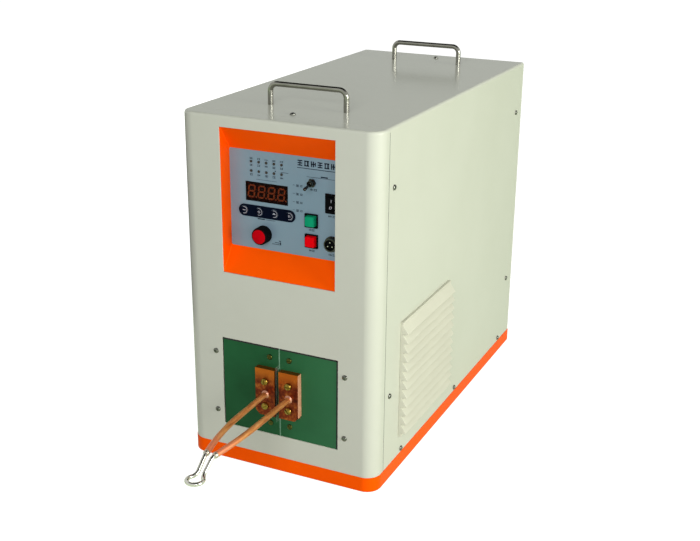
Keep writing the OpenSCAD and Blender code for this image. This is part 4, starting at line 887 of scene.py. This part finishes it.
def arc_ring(name, radius, width, depth, first, last, steps=40):
    """A flat ring or part of one round the Y axis at the origin, between two angles in degrees from the top."""
    angles = [math.radians(first + (last - first) * i / steps) for i in range(steps + 1)]
    outer = [(radius * math.sin(a), 0, radius * math.cos(a)) for a in angles]
    inner = [((radius - width) * math.sin(a), 0, (radius - width) * math.cos(a)) for a in reversed(angles)]
    return prism(name, outer + inner, (0, -depth, 0))


class HEATER_OT_keys(bpy.types.Operator):
    """Membrane strip and its four round keys with printed rings and signs"""

    bl_idname = "heater.keys"
    bl_label = "Key strip"

    def execute(self, context):
        dressed("key_strip", 0.35, "navy_film", segments=3)
        signs = [
            [bar(0, 0, 3.4, 0.7)],
            [bar(0, 0, 3.4, 0.7), bar(0, 0, 0.7, 3.4)],
            [bar(0, 0.9, 1.2, 0.6), bar(0, 0.3, 2.4, 0.6), bar(0, -0.3, 3.6, 0.6)],
            [bar(-0.8, 0, 0.7, 2.6), bar(0.8, 0, 0.7, 2.6)],
        ]
        for i, sign in enumerate(signs):
            node, body = f"key_{i + 1}", f"key_{i + 1}_cap"
            dressed(node, 0.3, "navy_film", body, 3)
            face = span(node)[0].y
            x = DISPLAY_X + (i - (KEYS - 1) / 2) * KEY_PITCH
            ring = moved(arc_ring("ring", KEY_RING, RING_WIDTH, INK, -20, 200), facing((x, face, STRIP_Z), FORWARD))
            bars = [box("stroke", (x + a, face - INK, STRIP_Z + c), (x + b, face, STRIP_Z + d)) for a, b, c, d in sign]
            fitted(joined(f"key_{i + 1}_sign", [ring, *bars]), "white_ink", body)
        return {"FINISHED"}


class HEATER_OT_knob(bpy.types.Operator):
    """Grooved power knob with its red cap"""

    bl_idname = "heater.knob"
    bl_label = "Power knob"

    def execute(self, context):
        x, z = KNOB
        low, high = span("power_knob")
        radius = (high.x - low.x) / 2
        grooves = context.scene.heater_sizes.knob_grooves
        outline = []
        for i in range(4 * grooves):
            turn = math.pi * i / (2 * grooves)
            reach = radius - (GROOVE if i % 4 in (0, 1) else 0.0)
            outline.append((x + reach * math.sin(turn), high.y, z + reach * math.cos(turn)))
        grip = prism("knob_grip", outline, (0, low.y - high.y + CROWN, 0))
        outline = [(0, CROWN), (radius - 1.6, CROWN), (radius - 0.6, 0.5), (radius - 0.5, 0)]
        crown = turned("knob_crown", outline, (x, low.y + CROWN, z))
        soften(grip, 0.12, 1, 30)
        fitted(joined("grooved_knob", [grip, crown]), "black_abs", "knob", ("power_knob",), 30)
        low, high = span("knob_cap")
        reach, rise = (high.x - low.x) / 2, high.y - low.y
        outline = [(0, rise), (0.6 * reach, 0.985 * rise), (0.86 * reach, 0.93 * rise)]
        outline += [(0.95 * reach, 0.82 * rise), (0.99 * reach, 0.62 * rise), (reach, 0.4 * rise), (reach, 0)]
        cap = turned("knob_red_cap", outline, (x, high.y, z), steps=48)
        fitted(cap, "knob_red", "knob", ("knob_cap",), 60)
        coated("zinc_plated_steel", "knob_shaft", "potentiometer")
        return {"FINISHED"}


class HEATER_OT_buttons(bpy.types.Operator):
    """Square start and stop buttons on black bases"""

    bl_idname = "heater.buttons"
    bl_label = "Buttons"

    def execute(self, context):
        dressed("button_bases", 0.7, "black_abs", segments=3)
        for body, looks, slot in (("start", "green_cap", "button_green"), ("stop", "red_cap", "button_red")):
            low, high = span(body + "_button")
            cap = box(body + "_cap", low, high)
            rolled(cap, 1.6, 5, lambda edge: runs_along(edge, 1))
            centre = Vector(((low.x + high.x) / 2, low.y, (low.z + high.z) / 2)) * MM
            with editing(cap, "FACE", lambda face: face.normal.y < -0.9):
                bpy.ops.transform.resize(value=(CAP_TAPER, 1, CAP_TAPER), center_override=centre)
                bpy.ops.mesh.inset(thickness=CAP_RIM * MM)
                bpy.ops.transform.translate(value=(0, CAP_DISH * MM, 0))
            soften(cap, 0.6, 3)
            fitted(cap, looks, body, (body + "_button",))
        return {"FINISHED"}


class HEATER_OT_switches(bpy.types.Operator):
    """Toggle switch, rocker switch with its signs, and the round socket"""

    bl_idname = "heater.switches"
    bl_label = "Switches and socket"

    def execute(self, context):
        dressed("toggle_body", 0.18, "black_nickel")
        coated("black_nickel", "toggle_lever")
        dressed("rocker_frame", 0.6, "black_abs", segments=3)
        paddle = dressed("rocker", 0.35, "black_abs", "rocker_paddle", 3)
        x, z = ROCKER
        for name, rise in (("rocker_sign_on", SIGN_RISE), ("rocker_sign_off", -SIGN_RISE)):
            hit, place, normal, _ = paddle.ray_cast(Vector((x, FRONT, z + rise)) * MM, BACKWARD)
            if not hit:
                raise RuntimeError("no rocker under its sign")
            if rise > 0:
                sign = box("sign", (-0.35, -INK, -1.5), (0.35, INK, 1.5))
            else:
                sign = arc_ring("sign", 1.5, RING_WIDTH, INK, 0, 354)
            sign.name = name
            fitted(moved(sign, facing(place / MM, normal)), "white_ink", "rocker_paddle")
        dressed("foot_switch_socket", 0.15, "black_nickel")
        x, z = SOCKET
        disc = turned("socket_disc", [(0, 0.8), (5.2, 0.8), (5.5, 0.5), (5.6, 0)], (x, SOCKET_FLOOR, z), steps=48)
        fitted(disc, "black_abs")
        pin = turned("pin", [(0, 2.4), (0.6, 2.3), (0.8, 1.9), (0.8, 0)])
        spots = [math.radians(90 + 120 * i) for i in range(3)]
        y = SOCKET_FLOOR - 0.6
        places = [facing((x + 2.9 * math.cos(a), y, z + 2.9 * math.sin(a)), FORWARD) for a in spots]
        fitted(repeated("socket_pins", pin, places), "nickel_plate")
        return {"FINISHED"}


# Terminals and work coil

BOARD_FACE = span("terminal_board")[0].y
LEAD_RADIUS = 3.2
HEAD_RADIUS = 2.2
LEAD_ROOT = Vector((14.4, -160.8, 103.3))
LEAD_OUT = Vector((14.4, -168.8, 103.3))
LEAD_BEND = Vector((13.4, -254.8, 103.3))
JOINT = Vector((5, -299.8, 100.9))
NECK = Vector((3.6, -318.8, 89.0))
LOOP_CENTRE = Vector((0, -328.8, 87.4))
LOOP_RADIUS = 8.2
LOOP_OPEN = math.radians(45)
LOOP_STEPS = 40
TIGHT_REACH, NECK_REACH, LEAD_REACH = 2, 2.5, 26
ELBOW_AHEAD = 3.4
COIL_HEAD = (4.2, 3.4)  # radius and height
BOARD_HEAD = (3.2, 1.8)
BEAD_HALF = 0.7
COIL_SCREWS = [(x, z) for x in (-14.4, 14.4) for z in (89.5, 119.0)]
BOARD_SCREWS = [(x, z) for x in (-12, 12) for z in (66, 146)]


def loop_point(turn):
    return LOOP_CENTRE + LOOP_RADIUS * Vector((math.sin(turn), math.cos(turn), 0))


def other_side(points):
    return [Vector((-point.x, point.y, point.z)) for point in reversed(points)]


class HEATER_OT_terminals(bpy.types.Operator):
    """Green board with its copper plates, brass screws and divider film"""

    bl_idname = "heater.terminals"
    bl_label = "Terminals"

    def execute(self, context):
        coated("glass_epoxy", "terminal_board")
        # Painted shadow: dark bars along the top and both sides of the window, where the board sits back behind the
        # fascia
        rim = [bar(0, 157.6, 142, 2.4), bar(-70.8, 105.6, 1, 106), bar(70, 105.6, 2.4, 106)]
        printed("board_seal", rim, BOARD_FACE, "moulded_rubber")
        low, high = span("divider_sheet")
        coated("divider_film", "divider_sheet")
        beads = [
            box("bead", (-BEAD_HALF, BOARD_FACE - 0.3, foot), (BEAD_HALF, BOARD_FACE + 0.1, end))
            for foot, end in ((low.z, PLATES[0].z), (PLATES[1].z, high.z))
        ]
        fitted(joined("divider_bead", beads), "clear_sealant")
        plates = dressed("coil_plates", 0.5, "oxidised_copper", segments=3)
        # Painted highlight: the right plate's outer right side takes the bright pink copper
        plates.data.materials.append(finish("cut_copper"))
        with editing(plates, "FACE", lambda face: face.normal.x > 0.3 and face.calc_center_median().x > 10 * MM):
            plates.active_material_index = 1
            bpy.ops.object.material_slot_assign()
        coated("worked_copper", "terminal_blocks")
        big = pan_head("coil_screw", *COIL_HEAD, slots=1)
        small = pan_head("board_screw", *BOARD_HEAD, slots=1)
        heads = repeated("coil_screw_heads", big, self.places(COIL_SCREWS, PLATES[0].y))
        fitted(heads, "turned_brass", stands_for=("brass_screws",), angle=50)
        heads = repeated("board_screw_heads", small, self.places(BOARD_SCREWS, BOARD_FACE))
        fitted(heads, "tarnished_brass", angle=50)
        return {"FINISHED"}

    def places(self, spots, face):
        turns = [Matrix.Rotation(0.9 * i + 0.5, 4, FORWARD) for i in range(len(spots))]
        return [facing((x, face, z), FORWARD) @ turn for (x, z), turn in zip(spots, turns)]


class HEATER_OT_coil(bpy.types.Operator):
    """Copper leads with their brazed roots and joints, and the bright hairpin head"""

    bl_idname = "heater.coil"
    bl_label = "Work coil"

    def execute(self, context):
        lead = [LEAD_ROOT]
        lead += rounded_corner(LEAD_ROOT, LEAD_OUT, LEAD_BEND, TIGHT_REACH)
        lead += rounded_corner(LEAD_OUT, LEAD_BEND, JOINT, LEAD_REACH)
        lead.append(JOINT)
        leads = [tube("lead", lead, LEAD_RADIUS), tube("lead", other_side(lead), LEAD_RADIUS)]
        fitted(joined("bent_leads", leads), "worked_copper", stands_for=("coil_leads",), angle=60)
        along = (JOINT - LEAD_BEND).normalized()
        elbow = JOINT + ELBOW_AHEAD * along
        shank = [JOINT]
        shank += rounded_corner(JOINT, elbow, NECK, TIGHT_REACH)
        shank += rounded_corner(elbow, NECK, loop_point(LOOP_OPEN), NECK_REACH)
        turns = [LOOP_OPEN + i * 2 * (math.pi - LOOP_OPEN) / LOOP_STEPS for i in range(LOOP_STEPS + 1)]
        path = shank + [loop_point(turn) for turn in turns] + other_side(shank)
        head = tube("hairpin_head", path, HEAD_RADIUS)
        fitted(head, "bright_tin", stands_for=("coil_head",), angle=60)
        thick, thin = LEAD_RADIUS, HEAD_RADIUS
        root = [(0, 1.5), (thick, 1.5), (thick + 0.35, 1.2), (thick + 0.8, 0.5), (thick + 1.5, 0), (0, 0)]
        sleeve = [(0, 1.6), (thin, 1.6), (thin + 0.4, 1.2), (thick - 0.1, 0.3)]
        sleeve += [(thick + 0.15, -0.6), (thick + 0.15, -1.8), (thick, -2.4), (0, -2.4)]
        for side, word in ((-1, "left"), (1, "right")):
            ring = turned("braze_ring_" + word, root, (side * LEAD_ROOT.x, PLATES[0].y, LEAD_ROOT.z))
            fitted(ring, "copper_braze", angle=60)
            axis = (side * along.x, along.y, along.z)
            joint = turned("solder_sleeve_" + word, sleeve, (side * JOINT.x, JOINT.y, JOINT.z), axis)
            fitted(joint, "silver_solder", angle=60)
        return {"FINISHED"}


# Rear and inside


class HEATER_OT_rear(bpy.types.Operator):
    """Rear panel with the fan, water fittings, cable gland and earth stud"""

    bl_idname = "heater.rear"
    bl_label = "Rear"

    def execute(self, context):
        dressed("rear_panel", 0.3, "ivory_powder_coat")
        dressed("fan_frame", 0.5, "black_abs")
        dressed("fan_rotor", 0.3, "black_abs", "fan")
        coated("nickel_plate", "fan_guard")
        dressed("fan_screws", 0.25, "zinc_plated_steel")
        dressed("water_nipples", 0.25, "turned_brass")
        dressed("cable_gland", 0.4, "black_abs")
        dressed("earth_stud", 0.2, "turned_brass")
        return {"FINISHED"}


class HEATER_OT_feet(bpy.types.Operator):
    """Rubber feet and their screws"""

    bl_idname = "heater.feet"
    bl_label = "Feet"

    def execute(self, context):
        dressed("rubber_feet", 0.8, "moulded_rubber", segments=3)
        dressed("foot_screws", 0.2, "zinc_plated_steel")
        return {"FINISHED"}


class HEATER_OT_inside(bpy.types.Operator):
    """Finishes of the boards, transformer, capacitors, heat sink and hoses"""

    bl_idname = "heater.inside"
    bl_label = "Inside"

    def execute(self, context):
        coated("zinc_plated_steel", "handle_nuts", "equipment_shelf", "transformer_stand")
        coated("solder_mask", "control_board", "power_board")
        coated("ferrite", "transformer_core")
        coated("worked_copper", "transformer_winding")
        coated("cream_plastic", "capacitor_bank")
        coated("milled_aluminium", "power_heat_sink")
        coated("black_abs", "power_modules")
        coated("hose_rubber", "cooling_hoses")
        return {"FINISHED"}


class HEATER_OT_lamps(bpy.types.Operator):
    """Ten small unlit indicator lamps"""

    bl_idname = "heater.lamps"
    bl_label = "Indicator lamps"

    def execute(self, context):
        coated("unlit_lamp_epoxy", "indicator_leds")
        return {"FINISHED"}


# Stage

CAMERA_ANGLES = (25.09, 19.99, 0.57)  # turn, rise and roll
CAMERA_PLACE = (530.62, -1109.91, 646.52)
SENSOR = 36
FOCAL_PIXELS = 1099.72
PHOTO_WIDTH = 700
LAMP_AIM = Vector((0, 0.07, 0.2))


def straight_rays(tree):
    """Two shares for a shader: rays that reflect, and rays that reflect, refract or come from the camera."""
    path = add(tree, "LightPath").outputs
    seen = add(tree, "Math", links={0: path["Is Camera Ray"], 1: path["Is Glossy Ray"]}, operation="MAXIMUM")
    seen = add(tree, "Math", links={0: seen.outputs[0], 1: path["Is Transmission Ray"]}, operation="MAXIMUM")
    return path["Is Glossy Ray"], seen.outputs[0]


class HEATER_OT_stage(bpy.types.Operator):
    """White studio: floor, world, lamps and the camera"""

    bl_idname = "heater.stage"
    bl_label = "Stage"

    def execute(self, context):
        self.camera(context)
        self.floor()
        self.world(context)
        self.lamp("key_lamp", (1.75, -0.3, 0.55), 0.8, 28, (0.985, 1.0, 0.91))
        self.lamp("front_lamp", (0.5, -2.35, 1.15), 1.0, 33, (0.965, 0.965, 1.0)).visible_glossy = False
        self.lamp("spark_lamp", (1.45, -1.75, 0.75), 0.45, 5, (1, 1, 1))
        self.lamp("over_lamp", (0.9, 0.1, 1.6), 0.5, 0.3, (1, 1, 1))
        self.lamp("rear_lamp", (-2.0, 1.7, 0.45), 0.8, 34, (1, 1, 1)).visible_glossy = False
        self.flag("overhead_flag", (0, 0.3, 1.9), 2.6)
        self.flag("side_flag", (-1.35, 0.1, 0.004), 1.7)
        return {"FINISHED"}

    def camera(self, context):
        turn, rise, roll = (math.radians(angle) for angle in CAMERA_ANGLES)
        back = Vector((math.sin(turn) * math.cos(rise), -math.cos(turn) * math.cos(rise), math.sin(rise)))
        level = Vector((math.cos(turn), math.sin(turn), 0))
        upwards = back.cross(level)
        right = math.cos(roll) * level + math.sin(roll) * upwards
        above = math.cos(roll) * upwards - math.sin(roll) * level
        data = bpy.data.cameras.new("photo_camera")
        data.sensor_width = SENSOR
        data.lens = SENSOR * FOCAL_PIXELS / PHOTO_WIDTH
        data.shift_x = -0.0013
        data.shift_y = -0.0024
        camera = bpy.data.objects.new("photo_camera", data)
        place = Matrix((right, above, back)).transposed().to_4x4()
        place.translation = Vector(CAMERA_PLACE) * MM
        camera.matrix_world = place
        context.scene.collection.objects.link(camera)
        context.scene.camera = camera
        context.scene.view_settings.view_transform = "Standard"

    def floor(self):
        rest()
        bpy.ops.mesh.primitive_plane_add(size=24, location=(0, 4, 0))
        ground = placed("studio_floor")
        material, tree = blank("floor_paper")
        glossy, seen = straight_rays(tree)
        glow = {"Color1": (0.96, 0.96, 0.96, 1), "Color2": (0.44, 0.56, 0.34, 1)}
        tint = add(tree, "MixRGB", glow, {"Fac": glossy})
        paper = add(tree, "BsdfDiffuse", {"Color": rgba(linear("A4A4A2"))})
        lift = add(tree, "Emission", links={"Color": tint.outputs["Color"], "Strength": seen})
        both = add(tree, "AddShader", links={0: paper.outputs[0], 1: lift.outputs[0]})
        add(tree, "OutputMaterial", links={"Surface": both.outputs[0]})
        ground.data.materials.append(material)

    def flag(self, name, place, size):
        """Level black card that only polished metal sees, for dark lines beside the bright ones."""
        rest()
        bpy.ops.mesh.primitive_plane_add(size=size, location=place)
        card = placed(name)
        material, tree = blank("black_card")
        cloth = add(tree, "BsdfDiffuse", {"Color": rgba(linear("101010"))})
        add(tree, "OutputMaterial", links={"Surface": cloth.outputs[0]})
        card.data.materials.append(material)
        card.visible_camera = card.visible_diffuse = card.visible_shadow = card.visible_transmission = False

    def world(self, context):
        world = bpy.data.worlds.new("studio")
        context.scene.world = world
        world.use_nodes = True
        tree = world.node_tree
        tree.nodes.clear()
        glossy, seen = straight_rays(tree)
        power = add(tree, "MapRange", {"To Min": 0.23, "To Max": 1.0}, {"Value": seen})
        tint = add(tree, "MixRGB", {"Color1": (1, 1, 1, 1), "Color2": (0.7, 0.72, 0.68, 1)}, {"Fac": glossy})
        sky = add(tree, "Background", links={"Color": tint.outputs["Color"], "Strength": power.outputs["Result"]})
        add(tree, "OutputWorld", links={"Surface": sky.outputs[0]})

    def lamp(self, name, place, size, power, colour):
        data = bpy.data.lights.new(name, "AREA")
        data.size = size
        data.energy = power
        data.color = colour
        lamp = bpy.data.objects.new(name, data)
        lamp.location = place
        aim = LAMP_AIM - Vector(place)
        lamp.rotation_euler = aim.to_track_quat("-Z", "Y").to_euler()
        bpy.context.scene.collection.objects.link(lamp)
        return lamp


# Settings, panel and run


class HeaterSizes(bpy.types.PropertyGroup):
    corner_radius: bpy.props.FloatProperty(
        name="Corner radius", description="Roll of the fascia's upright corners", default=0.0165, unit="LENGTH"
    )
    edge_radius: bpy.props.FloatProperty(
        name="Edge radius", description="Bend of the top edges", default=0.003, unit="LENGTH"
    )
    knob_grooves: bpy.props.IntProperty(
        name="Knob grooves", description="Grip grooves round the power knob", default=36, min=3
    )


def colour_setting(title, words, name):
    return bpy.props.FloatVectorProperty(
        name=title, description=words, subtype="COLOR", default=linear(FINISHES[name]["colour"])
    )


class HeaterColours(bpy.types.PropertyGroup):
    ivory_powder_coat: colour_setting("Case", "Powder coat of the case", "ivory_powder_coat")
    orange_powder_coat: colour_setting("Base and recess", "Powder coat of both", "orange_powder_coat")
    printed_film: colour_setting("Panel", "Film on the control panel", "printed_film")
    green_cap: colour_setting("Start button", "Colour of the start button", "green_cap")
    red_cap: colour_setting("Stop button", "Colour of the stop button", "red_cap")


PIECES = (
    HEATER_OT_fascia,
    HEATER_OT_cover,
    HEATER_OT_tray,
    HEATER_OT_recess,
    HEATER_OT_case_screws,
    HEATER_OT_handles,
    HEATER_OT_grilles,
    HEATER_OT_panel_print,
    HEATER_OT_display,
    HEATER_OT_keys,
    HEATER_OT_knob,
    HEATER_OT_buttons,
    HEATER_OT_switches,
    HEATER_OT_terminals,
    HEATER_OT_coil,
    HEATER_OT_rear,
    HEATER_OT_feet,
    HEATER_OT_inside,
    HEATER_OT_lamps,
    HEATER_OT_stage,
)


class HEATER_PT_pieces(bpy.types.Panel):
    """Lists the settings and the pieces"""

    bl_idname = "HEATER_PT_pieces"
    bl_label = "Induction heating machine"
    bl_space_type = "VIEW_3D"
    bl_region_type = "UI"
    bl_category = "Heater"

    def draw(self, context):
        for group in (context.scene.heater_sizes, context.scene.heater_colours):
            for name in group.__annotations__:
                self.layout.prop(group, name)
        for piece in PIECES:
            self.layout.operator(piece.bl_idname)


CLASSES = (HeaterSizes, HeaterColours, *PIECES, HEATER_PT_pieces)


def register():
    for kind in CLASSES:
        bpy.utils.register_class(kind)
    bpy.types.Scene.heater_sizes = bpy.props.PointerProperty(type=HeaterSizes)
    bpy.types.Scene.heater_colours = bpy.props.PointerProperty(type=HeaterColours)


def unregister():
    del bpy.types.Scene.heater_colours
    del bpy.types.Scene.heater_sizes
    for kind in reversed(CLASSES):
        bpy.utils.unregister_class(kind)


def main():
    register()
    for piece in PIECES:
        getattr(bpy.ops.heater, piece.bl_idname.split(".")[1])()
    rest()


if __name__ == "__main__":
    main()
